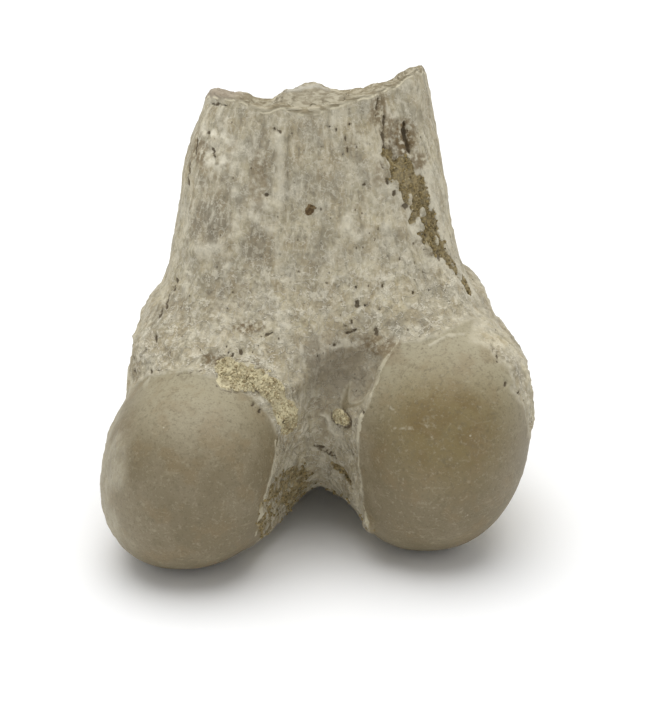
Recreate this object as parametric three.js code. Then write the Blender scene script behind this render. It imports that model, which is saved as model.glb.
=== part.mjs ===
// Far end of a fossil oreodont thigh bone, broken off through the shaft, at life size.
// It stands on its two condyles and the two ridges of its kneecap groove, back face to -Y.
// X runs to the bone's outer side, Y to its front and Z up the shaft, in millimetres.
// The shape is one closed field of distances, negative inside, that a net of faces is drawn over.
import * as THREE from "three";

// Whole bone
const LEAN = 10; // degrees that the shaft tips to the front
const AXIS_Y = 2.8; // shaft's middle line at the height AXIS_Z
const AXIS_Z = 14;
const MIDDLE_X = -0.09; // middle of the finished bone's box, moved to the origin
const MIDDLE_Y = 1.18;
const CELL = 1.4; // spacing of the grid that the faces follow

// Shaft: [height, size] down its length, seen from the back
const INNER_EDGE = [
  [4, -15.5], [8, -16.8], [13, -16.4], [16, -15.9], [19, -15.4], [22, -14.7],
  [25, -14.1], [30, -13.15], [35, -12.3], [39, -10.8], [47, -8.4],
];
const OUTER_EDGE = [
  [4, 16.5], [8, 18.0], [13, 18.2], [16, 17.2], [19, 15.5], [22, 14.2],
  [25, 13.3], [30, 12.2], [35, 11.35], [39, 10.5], [47, 8.8],
];
const HALF_DEPTH = [[4, 9.0], [10, 10.2], [16, 10.4], [24, 9.6], [34, 8.8], [47, 8.2]];
const SHAFT_FOOT = 5; // the shaft ends here, inside the joint end
const BACK_SQUARENESS = 3.0;
const FRONT_SQUARENESS = 2.2;

// Joint end: condyles behind, kneecap groove in front, arms between them
const INNER_CONDYLE = { at: [-11.7, -8.4, 9.0], radii: [8.4, 9.6, 9.15], power: 2.25, skew: 0.12 };
const OUTER_CONDYLE = { at: [11.2, -5.0, 10.7], radii: [8.5, 10.2, 10.85], power: 2.3, skew: 0.13 };
const TROCHLEA = { at: [0.2, 8.0, 13.6], radii: [9.2, 14.6, 13.6], power: 2.4 };
const INNER_ARM = { from: [-9.3, -7.0, 7.3], to: [-5.6, 9.0, 7.6], radii: [7.1, 7.9] };
const OUTER_ARM = { from: [10.4, -3.0, 9.8], to: [6.0, 9.0, 7.6], radii: [7.5, 7.9] };
const SHELF = { from: [-9.0, -4.4, 13.0], to: [9.6, -3.4, 15.2], radii: [5.9, 5.9] };
const INNER_EPICONDYLE = { at: [-13.1, 1.5, 14.6], radii: [4.4, 8.0, 6.6], power: 2.4 };
const OUTER_EPICONDYLE = { at: [14.9, 0.5, 13.8], radii: [4.4, 7.0, 6.0], power: 2.0 };
const OUTER_CREST = { at: [13.2, 4.5, 19.8], radii: [2.9, 5.0, 3.2], power: 2.0 };

// Kneecap groove: a trough round the front, running up onto the shaft
const GROOVE_X = 0.4;
const GROOVE_CENTRE_Y = 6.0;
const GROOVE_CENTRE_Z = 13.2;
const GROOVE_RING = 17.0; // radius of the trough's middle line
const GROOVE_RADIUS = 4.6;
const GROOVE_RISE_Z = 15.5; // above this it runs straight up
const GROOVE_RISE_SLOPE = 0.24;
const GROOVE_BACK_Y = 2;
const GROOVE_TOP_Z = 27;

// Notch between the condyles: [height, size] for its half widths, its middle and its floor
const NOTCH_INNER_WIDTH = [
  [-1, 6.2], [2, 6.2], [5, 6.2], [8, 5.4], [11, 4.7], [15, 4.4], [18, 4.9],
  [20, 5.9], [22, 6.8], [25, 8.0],
];
const NOTCH_OUTER_WIDTH = [
  [-1, 6.3], [2, 6.2], [5, 6.0], [8, 5.1], [11, 4.65], [13, 4.75], [15.5, 4.9], [17, 5.3],
  [18.8, 6.5], [20, 7.8], [22, 8.8], [25, 9.5],
];
const NOTCH_MID_X = [[-1, -0.1], [5, -0.1], [11, 0.0], [15, 0.0], [18, 0.2], [20, 0.3], [22, 0.6]];
const NOTCH_FLOOR_Y = [
  [-2, -1.5], [4, -3.6], [6, -5.2], [8, -6.3], [10, -7.0], [13, -7.6], [16, -8.1],
  [18, -8.4], [20, -8.2], [22, -7.4], [25, -6.4], [30, -6.4],
];
const NOTCH_BACK_Y = -20;
const NOTCH_POWER = 2.2; // how square the notch is
const NOTCH_FOOT_POWER = 1.6;
const NOTCH_OUTER_TOP_POWER = 4.5;
const ARCH = {
  midX: 0.15, backY: -8, run: 24, high: 5.0, fall: 2.5, wide: 4.8, narrowing: 0.7, sunk: 0.8,
};
const HOLLOW = { at: [2.9, -9.9, 18.6], radii: [2.5, 2.9, 3.8], power: 2.4, skew: 0.5 };

// Crust that fills the notch's inner wall, beside the inner condyle's lip
const CRUST = [
  { at: [-7.2, -7.9, 17.6], radius: 0.9 },
  { at: [-4.6, -8.8, 17.2], radius: 0.9 },
  { at: [-3.4, -8.8, 15.6], radius: 0.9 },
  { at: [-3.0, -8.2, 12.6], radius: 0.9 },
];

// Shallow groove down the back face, on the outer side
const BACK_GROOVE = { from: [7.0, -0.8, 43.5], to: [11.2, -5.2, 25.0], radii: [2.1, 1.7] };

// Break across the shaft
const BREAK_Z = 41.3; // height of its near edge in the middle
const BREAK_FALL = 0.3; // fall towards the front, for each millimetre
const BREAK_PEAKS = [
  { x: -9.6, width: 1.8, height: 1.4 },
  { x: -7.0, width: 1.2, height: 0.7 },
  { x: -3.4, width: 0.9, height: 0.5 },
];
const BREAK_FAR_PEAK = { x: -0.8, width: 3.0, height: 1.9 };
const BREAK_OUTER_RISE = 2.9;
const BREAK_CORNER_RISE = 0.8;
const BREAK_ROUND = 0.8; // worn edge round the break

const clamp = (t, low, high) => Math.min(Math.max(t, low), high);

function smoothStep(low, high, value) {
  const t = clamp((value - low) / (high - low), 0, 1);
  return t * t * (3 - 2 * t);
}

// Join and cut with a rounded seam, round units wide.
function join(a, b, round) {
  const h = Math.max(round - Math.abs(a - b), 0) / round;
  return Math.min(a, b) - h * h * round * 0.25;
}

function cut(a, b, round) {
  return -join(-a, b, round);
}

function keep(a, b, round) {
  return -join(-a, -b, round);
}

// Smooth curve through [height, value] stations, level past both ends.
function curve(stations) {
  const last = stations.length - 1;
  const rise = (i) => (stations[i + 1][1] - stations[i][1]) / (stations[i + 1][0] - stations[i][0]);
  const run = (i) => stations[i + 1][0] - stations[i][0];
  const slopes = stations.map((_, i) => {
    if (i === 0) return rise(0);
    if (i === last) return rise(last - 1);
    return (run(i) * rise(i - 1) + run(i - 1) * rise(i)) / (run(i) + run(i - 1));
  });
  return (height) => {
    const z = clamp(height, stations[0][0], stations[last][0]);
    let i = 0;
    while (i < last - 1 && z > stations[i + 1][0]) i += 1;
    const h = run(i);
    const t = (z - stations[i][0]) / h;
    const fromStart = (2 * t ** 3 - 3 * t ** 2 + 1) * stations[i][1];
    const fromEnd = (3 * t ** 2 - 2 * t ** 3) * stations[i + 1][1];
    const leave = (t ** 3 - 2 * t ** 2 + t) * h * slopes[i];
    const arrive = (t ** 3 - t ** 2) * h * slopes[i + 1];
    return fromStart + fromEnd + leave + arrive;
  };
}

const innerEdge = curve(INNER_EDGE);
const outerEdge = curve(OUTER_EDGE);
const halfDepth = curve(HALF_DEPTH);
const notchInnerWidth = curve(NOTCH_INNER_WIDTH);
const notchOuterWidth = curve(NOTCH_OUTER_WIDTH);
const notchMidX = curve(NOTCH_MID_X);
const notchFloorY = curve(NOTCH_FLOOR_Y);

// Rough distance to a rounded box: offsets along each axis, radii, and how square it is.
function rounded(offsets, radii, power) {
  let sum = 0;
  let slope = 0;
  const shares = offsets.map((offset, i) => Math.abs(offset) / radii[i]);
  for (const share of shares) sum += share ** power;
  const size = Math.max(sum ** (1 / power), 1e-3);
  shares.forEach((share, i) => {
    slope += (share ** (power - 1) / radii[i]) ** 2;
  });
  return (size - 1) / Math.max(Math.sqrt(slope) * size ** (1 - power), 1e-3);
}

function lump(p, { at, radii, power, skew = 0 }) {
  const [x, y, z] = [0, 1, 2].map((i) => p[i] - at[i]);
  return rounded([x - skew * z, y, z], radii, power);
}

function capsule(p, from, to, radii) {
  const along = [0, 1, 2].map((i) => to[i] - from[i]);
  const off = [0, 1, 2].map((i) => p[i] - from[i]);
  const dot = (a, b) => a[0] * b[0] + a[1] * b[1] + a[2] * b[2];
  const t = clamp(dot(off, along) / dot(along, along), 0, 1);
  const gap = off.map((value, i) => value - t * along[i]);
  return Math.sqrt(dot(gap, gap)) - (radii[0] + (radii[1] - radii[0]) * t);
}

function bar(p, { from, to, radii }) {
  return capsule(p, from, to, radii);
}

function shaft([x, y, z]) {
  const left = innerEdge(z);
  const right = outerEdge(z);
  const axisY = AXIS_Y + Math.tan(THREE.MathUtils.degToRad(LEAN)) * (z - AXIS_Z);
  const power = y < axisY ? BACK_SQUARENESS : FRONT_SQUARENESS;
  const offsets = [x - (left + right) / 2, y - axisY];
  const side = rounded(offsets, [(right - left) / 2, halfDepth(z)], power) * 0.95;
  return keep(side, SHAFT_FOOT - z, 3.0);
}

function kneecapGroove([x, y, z]) {
  const rise = Math.max(z - GROOVE_RISE_Z, 0);
  const spanY = y - GROOVE_CENTRE_Y + GROOVE_RISE_SLOPE * rise;
  const ring = Math.hypot(spanY, z - rise - GROOVE_CENTRE_Z) - GROOVE_RING;
  const trough = Math.hypot(ring, (x - GROOVE_X) * 0.85) - GROOVE_RADIUS;
  return keep(keep(trough, GROOVE_BACK_Y - y, 2.0), z - GROOVE_TOP_Z, 3.0);
}

function notch([x, y, z]) {
  const depth = Math.max(notchFloorY(z) - NOTCH_BACK_Y, 1.5);
  const aside = x - notchMidX(z);
  let power = NOTCH_FOOT_POWER + (NOTCH_POWER - NOTCH_FOOT_POWER) * smoothStep(5, 10, z);
  if (aside > 0) power += (NOTCH_OUTER_TOP_POWER - NOTCH_POWER) * smoothStep(14, 18.5, z);
  const wide = aside > 0 ? notchOuterWidth(z) : notchInnerWidth(z);
  return rounded([aside, y - NOTCH_BACK_Y], [wide, depth], power) * 0.85;
}

// Pointed arch that the notch opens into below, running forward to the kneecap groove
function arch([x, y, z]) {
  const run = clamp((y - ARCH.backY) / ARCH.run, 0, 1);
  const radii = [ARCH.wide - ARCH.narrowing * run, ARCH.high - ARCH.fall * run];
  return rounded([x - ARCH.midX, z + ARCH.sunk], radii, 1.45);
}

function addCrust(p, start) {
  let d = start;
  for (let i = 0; i + 1 < CRUST.length; i += 1) {
    const [a, b] = [CRUST[i], CRUST[i + 1]];
    d = join(d, capsule(p, a.at, b.at, [a.radius, b.radius]), 2.0);
  }
  return d;
}

function breakAcross([x, y, z]) {
  const peak = ({ x: middle, width, height }) => height * Math.exp(-(((x - middle) / width) ** 2));
  let near = BREAK_Z;
  for (const each of BREAK_PEAKS) near += peak(each);
  near += BREAK_OUTER_RISE * smoothStep(-1, 10, x) + BREAK_CORNER_RISE * smoothStep(6, 10, x);
  const far = peak(BREAK_FAR_PEAK) * smoothStep(6, 14, y);
  return (z - (near + far - BREAK_FALL * (y + 1))) * 0.93;
}

// The whole bone's field
function bone(p) {
  const [x, , z] = p;
  const hollowSeam = 0.5 + 1.9 * (1 - smoothStep(3.2, 4.6, x - HOLLOW.skew * (z - HOLLOW.at[2])));
  let d = shaft(p);
  d = join(d, lump(p, TROCHLEA), 3.5);
  d = join(d, bar(p, INNER_ARM), 3.0);
  d = join(d, bar(p, OUTER_ARM), 3.0);
  d = join(d, bar(p, SHELF), 8.0);
  d = join(d, lump(p, INNER_EPICONDYLE), 3.0);
  d = join(d, lump(p, OUTER_EPICONDYLE), 2.0);
  d = join(d, lump(p, OUTER_CREST), 1.2);
  d = cut(d, kneecapGroove(p), 2.2);
  d = join(d, lump(p, INNER_CONDYLE), 1.3);
  d = join(d, lump(p, OUTER_CONDYLE), 1.3);
  d = cut(d, notch(p), 0.4 + 2.4 * (x > 0 ? smoothStep(19.5, 22, z) : smoothStep(15, 20, z)));
  d = cut(d, lump(p, HOLLOW), hollowSeam);
  d = addCrust(p, d);
  d = cut(d, bar(p, BACK_GROOVE), 1.6);
  d = cut(d, arch(p), 1.0);
  d = keep(d, breakAcross(p), BREAK_ROUND);
  return Math.max(d, -z);
}

// Corners of the box that the grid fills
const LOW = [-22.4, -20.3, -1.4];
const HIGH = [22.4, 25.2, 47.6];

// Pull a point onto the field's surface.
function settle(point, field) {
  const step = 0.02;
  let p = point;
  for (let round = 0; round < 4; round += 1) {
    const here = field(p);
    const slope = [0, 1, 2].map((axis) => {
      const next = [...p];
      next[axis] += step;
      return (field(next) - here) / step;
    });
    const length = Math.max(slope[0] ** 2 + slope[1] ** 2 + slope[2] ** 2, 0.2);
    const move = clamp(here, -0.5, 0.5) / length;
    p = p.map((value, axis) => value - move * slope[axis]);
  }
  p[2] = Math.max(p[2], 0);
  return p;
}

// Net of faces over the field: one vertex in each cell that the surface crosses,
// and two triangles round each grid edge that it crosses.
function net(field) {
  const counts = LOW.map((low, i) => Math.ceil((HIGH[i] - low) / CELL) + 1);
  const at = (i, j, k) => (k * counts[1] + j) * counts[0] + i;
  const place = (i, j, k) => [LOW[0] + i * CELL, LOW[1] + j * CELL, LOW[2] + k * CELL];
  const values = new Float64Array(counts[0] * counts[1] * counts[2]);
  for (let k = 0; k < counts[2]; k += 1)
    for (let j = 0; j < counts[1]; j += 1)
      for (let i = 0; i < counts[0]; i += 1) values[at(i, j, k)] = field(place(i, j, k));

  const corners = [];
  for (let c = 0; c < 8; c += 1) corners.push([c & 1, (c >> 1) & 1, (c >> 2) & 1]);
  const positions = [];
  const vertexOf = new Int32Array(values.length).fill(-1);

  function addVertex(i, j, k) {
    const sum = [0, 0, 0];
    let crossings = 0;
    for (const a of corners) {
      for (let axis = 0; axis < 3; axis += 1) {
        if (a[axis] === 1) continue;
        const b = [...a];
        b[axis] = 1;
        const va = values[at(i + a[0], j + a[1], k + a[2])];
        const vb = values[at(i + b[0], j + b[1], k + b[2])];
        if (va < 0 === vb < 0) continue;
        const t = va / (va - vb);
        for (let m = 0; m < 3; m += 1) sum[m] += a[m] + t * (b[m] - a[m]);
        crossings += 1;
      }
    }
    if (crossings === 0) return;
    const corner = place(i, j, k);
    const start = corner.map((value, m) => value + (CELL * sum[m]) / crossings);
    vertexOf[at(i, j, k)] = positions.length / 3;
    positions.push(...settle(start, field));
  }

  for (let k = 0; k + 1 < counts[2]; k += 1)
    for (let j = 0; j + 1 < counts[1]; j += 1)
      for (let i = 0; i + 1 < counts[0]; i += 1) addVertex(i, j, k);

  const gap = (a, b) =>
    Math.hypot(
      positions[3 * a] - positions[3 * b],
      positions[3 * a + 1] - positions[3 * b + 1],
      positions[3 * a + 2] - positions[3 * b + 2],
    );
  const faces = [];

  // The four cells round an edge, in turn, make a quad that is split on its short diagonal.
  function addQuad(cells, flip) {
    const [a, b, c, d] = flip ? [...cells].reverse() : cells;
    if (gap(a, c) <= gap(b, d)) faces.push(a, b, c, a, c, d);
    else faces.push(b, c, d, b, d, a);
  }

  for (let k = 1; k + 1 < counts[2]; k += 1)
    for (let j = 1; j + 1 < counts[1]; j += 1)
      for (let i = 1; i + 1 < counts[0]; i += 1) {
        const here = values[at(i, j, k)] < 0;
        for (let axis = 0; axis < 3; axis += 1) {
          const step = [0, 0, 0];
          step[axis] = 1;
          const next = values[at(i + step[0], j + step[1], k + step[2])] < 0;
          if (here === next) continue;
          const u = [0, 0, 0];
          const v = [0, 0, 0];
          u[(axis + 1) % 3] = 1;
          v[(axis + 2) % 3] = 1;
          const cells = [[1, 1], [0, 1], [0, 0], [1, 0]].map(
            ([m, n]) => vertexOf[at(
              i - m * u[0] - n * v[0], j - m * u[1] - n * v[1], k - m * u[2] - n * v[2],
            )],
          );
          addQuad(cells, !here);
        }
      }
  return { positions, faces };
}

function boneMesh() {
  const { positions, faces } = net(bone);
  const geometry = new THREE.BufferGeometry();
  geometry.setAttribute("position", new THREE.Float32BufferAttribute(positions, 3));
  geometry.setIndex(faces);
  geometry.translate(-MIDDLE_X, -MIDDLE_Y, 0);
  geometry.computeVertexNormals();
  const petrified = new THREE.MeshStandardMaterial({ color: 0xa1997d, roughness: 0.75, metalness: 0 });
  const mesh = new THREE.Mesh(geometry, petrified);
  mesh.name = "thigh_bone_end";
  return mesh;
}

const part = new THREE.Group();
part.add(boneMesh());

export default part;
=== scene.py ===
import math

import bpy
import numpy as np
from bpy.props import FloatProperty, FloatVectorProperty, IntProperty, PointerProperty
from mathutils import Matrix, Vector


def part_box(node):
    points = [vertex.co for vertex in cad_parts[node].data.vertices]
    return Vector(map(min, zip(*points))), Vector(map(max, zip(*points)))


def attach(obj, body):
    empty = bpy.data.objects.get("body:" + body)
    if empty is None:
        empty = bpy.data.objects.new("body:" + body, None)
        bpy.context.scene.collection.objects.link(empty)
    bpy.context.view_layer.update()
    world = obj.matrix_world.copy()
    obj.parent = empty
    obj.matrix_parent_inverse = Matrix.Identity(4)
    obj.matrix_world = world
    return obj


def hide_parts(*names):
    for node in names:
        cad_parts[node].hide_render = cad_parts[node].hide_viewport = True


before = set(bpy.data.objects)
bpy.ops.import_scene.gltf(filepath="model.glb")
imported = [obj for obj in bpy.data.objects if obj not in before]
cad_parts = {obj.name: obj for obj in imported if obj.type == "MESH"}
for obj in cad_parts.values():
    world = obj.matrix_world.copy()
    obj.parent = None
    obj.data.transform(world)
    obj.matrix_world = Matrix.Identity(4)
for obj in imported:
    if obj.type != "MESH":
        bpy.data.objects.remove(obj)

bl_info = {
    "name": "Fossil thigh bone end",
    "version": (1, 0, 0),
    "blender": (4, 5, 0),
    "location": "3D View > Sidebar > Fossil",
    "description": "The knee end of an oreodont thigh bone, weathered and broken across its shaft",
    "category": "Object",
}

# The bone is laid out in millimetres, x across, y from the back face forward and z up, with its
# middle here; finished points are moved so that the middle is the frame's origin.
MM = 0.001
MIDDLE = np.array((-0.09, 1.18, 0.0))
CAD_NODE = "thigh_bone_end"

# Shaft: its two edges seen from behind, as height and x, and half its depth.
LEAN = 10.0
AXIS_Y = 2.8
AXIS_Z = 14.0
SHAFT_FOOT = 5.0
INNER_EDGE = (
    (4, -15.5), (8, -16.8), (13, -16.4), (16, -15.9), (19, -15.4), (22, -14.7),
    (25, -14.1), (30, -13.15), (35, -12.3), (39, -10.8), (47, -8.4),
)
OUTER_EDGE = (
    (4, 16.5), (8, 18.0), (13, 18.2), (16, 17.2), (19, 15.5), (22, 14.2),
    (25, 13.3), (30, 12.2), (35, 11.35), (39, 10.5), (47, 8.8),
)
HALF_DEPTH = ((4, 9.0), (10, 10.2), (16, 10.4), (24, 9.6), (34, 8.8), (47, 8.2))
BACK_SQUARENESS = 3.0
FRONT_SQUARENESS = 2.2

# Joint surfaces and the arms that carry them.
INNER_CONDYLE = dict(centre=(-11.7, -8.4, 9.0), radii=(8.4, 9.6, 9.15), power=2.25, skew=0.12)
OUTER_CONDYLE = dict(centre=(11.2, -5.0, 10.7), radii=(8.5, 10.2, 10.85), power=2.3, skew=0.13)
TROCHLEA = dict(centre=(0.2, 8.0, 13.6), radii=(9.2, 14.6, 13.6), power=2.4)
INNER_ARM = ((-9.3, -7.0, 7.3), (-5.6, 9.0, 7.6), 7.1, 7.9)
OUTER_ARM = ((10.4, -3.0, 9.8), (6.0, 9.0, 7.6), 7.5, 7.9)
SHELF = ((-9.0, -4.4, 13.0), (9.6, -3.4, 15.2), 5.9, 5.9)
INNER_EPICONDYLE = dict(centre=(-13.1, 1.5, 14.6), radii=(4.4, 8.0, 6.6), power=2.4)
OUTER_EPICONDYLE = dict(centre=(14.9, 0.5, 13.8), radii=(4.4, 7.0, 6.0), power=2.0)
OUTER_CREST = dict(centre=(13.2, 4.5, 19.8), radii=(2.9, 5.0, 3.2), power=2.0)

# Groove for the kneecap, a trough that follows a ring round the front.
GROOVE_X = 0.4
GROOVE_CENTRE = (6.0, 13.2)
GROOVE_RING = 17.0
GROOVE_RADIUS = 4.6
GROOVE_RISE_Z = 15.5
GROOVE_RISE_SLOPE = 0.24
GROOVE_BACK_Y = 2.0
GROOVE_TOP_Z = 27.0

# Notch between the condyles and the arch under it.
NOTCH_INNER_WIDTH = (
    (-1, 6.2), (2, 6.2), (5, 6.2), (8, 5.4), (11, 4.7), (15, 4.4),
    (18, 4.9), (20, 5.9), (22, 6.8), (25, 8.0),
)
NOTCH_OUTER_WIDTH = (
    (-1, 6.3), (2, 6.2), (5, 6.0), (8, 5.1), (11, 4.65), (13, 4.75), (15.5, 4.9), (17, 5.3),
    (18.8, 6.5), (20, 7.8), (22, 8.8), (25, 9.5),
)
NOTCH_MID_X = ((-1, -0.1), (5, -0.1), (11, 0.0), (15, 0.0), (18, 0.2), (20, 0.3), (22, 0.6))
NOTCH_FLOOR_Y = (
    (-2, -1.5), (4, -3.6), (6, -5.2), (8, -6.3), (10, -7.0), (13, -7.6), (16, -8.1),
    (18, -8.4), (20, -8.2), (22, -7.4), (25, -6.4), (30, -6.4),
)
NOTCH_BACK_Y = -20.0
NOTCH_POWER = 2.2
NOTCH_FOOT_POWER = 1.6
NOTCH_OUTER_TOP_POWER = 4.5
ARCH = dict(
    mid_x=0.15, back_y=-8.0, run=24.0, high=5.0, fall=2.5, wide=4.8, narrowing=0.7, sunk=0.8, power=1.45,
)
HOLLOW = dict(centre=(2.9, -9.9, 18.6), radii=(2.5, 2.9, 3.8), power=2.4, skew=0.5)
LIP_CHIP = dict(centre=(5.0, -11.1, 4.5), radii=(1.0, 1.0, 1.2), power=1.4)
BACK_GROOVE = ((7.0, -0.8, 43.5), (11.2, -5.2, 25.0), 2.1, 1.7)

# Break across the shaft: height of its near edge and what rises from it.
BREAK_Z = 41.3
BREAK_FALL = 0.3
BREAK_PEAKS = ((-9.6, 1.8, 1.4), (-7.0, 1.2, 0.7), (-3.4, 0.9, 0.5))
FAR_PEAK = (-0.8, 3.0, 1.9)
OUTER_RISE = 2.9
CORNER_RISE = 0.8
WALL_OF_SHAFT = 2.3

# Crust beside the notch, and the sand in the groove, as x, y, z.
CRUST_RODS = ((-7.2, -7.9, 17.6), (-4.6, -8.8, 17.2), (-3.4, -8.8, 15.6), (-3.0, -8.2, 12.6))
CRUST_RADIUS = 0.9
GROOVE_FILL = (
    (6.4, -0.6, 36.6), (7.2, -0.8, 35.2), (8.8, -0.9, 33.2), (10.0, -1.0, 30.9),
    (10.9, -1.2, 28.5), (12.6, -0.4, 25.7), (14.1, -0.4, 23.2),
)
GROOVE_FILL_WIDTH = (0.7, 1.3, 1.3, 1.25, 1.0, 0.7, 0.4)

# Places on the back of the bone, as x and z seen from straight behind. A patch is its middle, its
# half width and half height, and how strong it is.
CRUST_PATH = (
    (-8.4, 18.9), (-6.8, 18.6), (-5.4, 18.5), (-4.4, 18.0), (-3.5, 16.9), (-2.9, 15.6), (-2.7, 14.5),
)
CRUST_WIDTH = 0.8
HOLE_SIZES = (0.10, 0.15, 0.24)
SMALL_HOLES = (
    (1.0, 39.6), (2.8, 39.8), (-9.9, 30.1), (3.7, 31.5), (1.7, 25.5), (3.4, 25.4), (4.2, 24.0),
    (-1.5, 23.7), (0.9, 23.9), (8.7, 24.8), (7.4, 27.7), (5.8, 25.5), (10.2, 24.6), (-9.4, 26.9),
    (-5.9, 16.8), (-5.3, 16.2), (-8.2, 20.3), (-8.4, 20.7), (-7.8, 20.1), (-14.7, 18.0), (-15.4, 17.7),
)
MIDDLE_HOLES = (
    (1.5, 39.3), (4.1, 34.5), (-4.7, 33.5), (-5.7, 29.7), (0.7, 25.7), (3.0, 22.7), (2.5, 22.3),
    (5.5, 23.7), (-10.2, 38.1), (1.5, 20.8), (4.0, 15.7), (16.2, 20.3), (15.9, 20.8), (18.2, 17.4),
    (16.9, 18.6), (-15.2, 20.1), (-17.2, 16.7), (-7.1, 20.4), (6.9, 33.4), (6.3, 34.4),
)
LARGE_HOLES = ((7.9, 32.0), (3.5, 24.2), (5.2, 21.8), (9.7, 29.4), (11.1, 27.2), (-3.1, 15.0))
SLITS = (
    ((-11.9, 34.9), (-12.0, 34.1)), ((-12.1, 33.6), (-12.1, 33.0)), ((-13.2, 24.6), (-13.6, 23.6)),
    ((-14.0, 23.0), (-14.3, 22.2)), ((-14.6, 22.0), (-14.9, 21.4)), ((2.4, 38.8), (2.6, 37.4)),
    ((2.5, 21.7), (3.4, 22.0)), ((-5.2, 21.6), (-4.2, 22.0)), ((2.6, 11.5), (3.0, 10.9)),
    ((-1.1, 13.2), (-1.5, 12.4)), ((7.6, 38.8), (7.9, 37.6), (8.1, 36.9)),
    ((6.0, 40.2), (5.9, 38.8), (6.0, 37.3)),
    ((5.4, 41.9), (5.2, 40.9)), ((-9.9, 40.3), (-9.2, 40.7), (-8.3, 40.9)), ((-4.0, 39.4), (-3.4, 39.1)),
    ((-9.8, 37.0), (-9.5, 36.4)), ((-11.2, 36.9), (-11.4, 35.9)),
)
SLIT_WIDTH = 0.10
HAIR_CRACKS = (
    ((8.5, 26.7), (9.8, 26.1), (11.2, 25.5), (11.9, 25.7)), ((9.1, 27.3), (10.0, 26.6), (11.2, 25.4)),
    ((10.2, 26.5), (10.8, 26.7), (11.3, 26.8)), ((8.5, 26.7), (8.6, 26.3)),
    ((-14.7, 17.7), (-12.6, 18.4), (-10.3, 18.9), (-8.5, 19.2)),
    (
        (-6.9, 19.3), (-5.7, 19.35), (-4.6, 19.2), (-3.5, 18.7),
        (-2.8, 17.8), (-2.1, 16.7), (-1.5, 15.4), (-1.2, 13.4),
    ),
    ((1.3, 10.5), (2.4, 10.3), (3.2, 9.5), (3.6, 8.3)), ((1.8, 11.1), (2.9, 10.7), (3.5, 9.8)),
    ((-2.7, 7.2), (-1.5, 6.6), (0.1, 6.3), (1.2, 5.9), (2.1, 4.9)), ((5.5, 36.7), (5.9, 35.6), (6.6, 34.8)),
)
HAIR_WIDTH = 0.05
RIDGES = (
    ((-7.6, 33.4), (-7.2, 31.8), (-7.8, 29.8), (-9.2, 28.5), (-11.2, 27.8)),
    ((-7.3, 32.2), (-6.2, 31.8), (-5.1, 30.8), (-4.0, 30.2)),
    ((-7.1, 32.4), (-5.1, 32.7), (-3.5, 32.6)),
    ((2.6, 31.5), (2.7, 30.5), (3.4, 29.6), (4.8, 30.5), (6.1, 30.7)),
)
VEIN_PATH = ((-3.5, 38.9), (-3.4, 36.6), (-3.4, 34.0), (-3.5, 32.6))
VEIN_WIDTH = 0.42
FLAKE_PATH = (
    (-2.8, 38.9), (-2.9, 35.8), (-3.0, 32.7), (-3.3, 30.9), (-3.9, 28.7), (-4.6, 26.9), (-5.5, 25.8),
)
PALE_LINES = (
    ((10.0, 21.2), (11.6, 21.7), (13.2, 21.6)), ((-14.8, 18.5), (-15.6, 17.1), (-16.5, 16.2)),
    ((6.7, 15.2), (8.3, 15.6)), ((6.1, 16.8), (6.9, 16.5)), ((9.4, 16.4), (9.9, 15.5), (10.2, 14.9)),
    ((-2.9, 30.7), (-1.5, 30.7)), ((-3.3, 38.9), (-2.6, 38.95)),
    ((-14.6, 17.9), (-12.8, 18.5), (-10.6, 18.9)), ((8.8, 37.4), (9.5, 37.8)),
    ((8.6, 35.0), (9.6, 35.5)), ((1.0, 13.4), (1.1, 12.5), (1.8, 12.0)),
    ((11.0, 23.3), (11.9, 23.0)), ((3.0, 31.4), (2.7, 30.4), (3.3, 29.5)),
)
RIM_PIT = ((1.95, 14.0), 0.82)
LONG_PIT = ((-0.4, 10.4), (0.2, 10.0), (0.8, 9.6), (1.5, 9.2))
LONG_PIT_WIDTH = (0.1, 0.34, 0.34, 0.1)
BROWN_PIT = ((1.2, 8.5), (1.8, 8.1), (2.4, 7.7), (2.9, 7.2))
BROWN_PIT_WIDTH = (0.15, 0.42, 0.38, 0.15)
SHADE_PATCHES = (
    ((-9.9, 30.8), (2.3, 2.7), 0.75), ((-5.6, 28.9), (1.8, 2.2), 0.8), ((-5.1, 36.2), (1.3, 3.6), 0.55),
    ((-9.2, 25.0), (2.0, 1.5), 0.3), ((1.0, 36.8), (3.0, 3.2), 0.15), ((-9.5, 33.8), (2.2, 1.6), 0.55),
    ((-1.5, 27.5), (2.4, 2.6), 0.2), ((16.9, 17.6), (1.8, 3.6), 0.35),
)
BROWN_PATCHES = (
    ((-6.4, 22.2), (1.5, 0.6), 0.9), ((5.4, 20.9), (2.2, 0.9), 0.8), ((-9.8, 19.6), (1.0, 0.5), 0.9),
    ((-7.4, 25.0), (1.1, 0.9), 0.4), ((-11.2, 36.4), (0.9, 1.6), 0.7), ((-5.4, 34.5), (0.8, 3.0), 0.45),
    ((-17.3, 16.3), (0.9, 2.4), 0.45), ((9.2, 28.6), (0.8, 0.5), 0.5), ((10.4, 27.7), (0.9, 0.45), 0.5),
    ((7.8, 38.0), (1.1, 1.8), 1.0), ((5.4, 40.6), (0.9, 1.6), 0.8), ((6.4, 38.4), (0.7, 2.2), 0.7),
    ((8.9, 35.9), (1.1, 0.8), 0.8), ((5.6, 35.2), (0.7, 1.2), 0.5),
)
PALE_PATCHES = (
    ((-9.2, 37.0), (1.9, 1.9), 1.0), ((6.1, 40.2), (1.1, 0.9), 0.7), ((6.4, 25.4), (1.6, 1.0), 0.4),
    ((-8.0, 21.9), (3.0, 1.4), 0.35), ((2.6, 20.9), (2.0, 0.6), 0.5), ((8.9, 30.0), (0.5, 1.5), 0.6),
    ((8.0, 34.2), (0.5, 2.0), 0.5), ((10.6, 26.9), (1.2, 0.5), 0.4),
)
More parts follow.
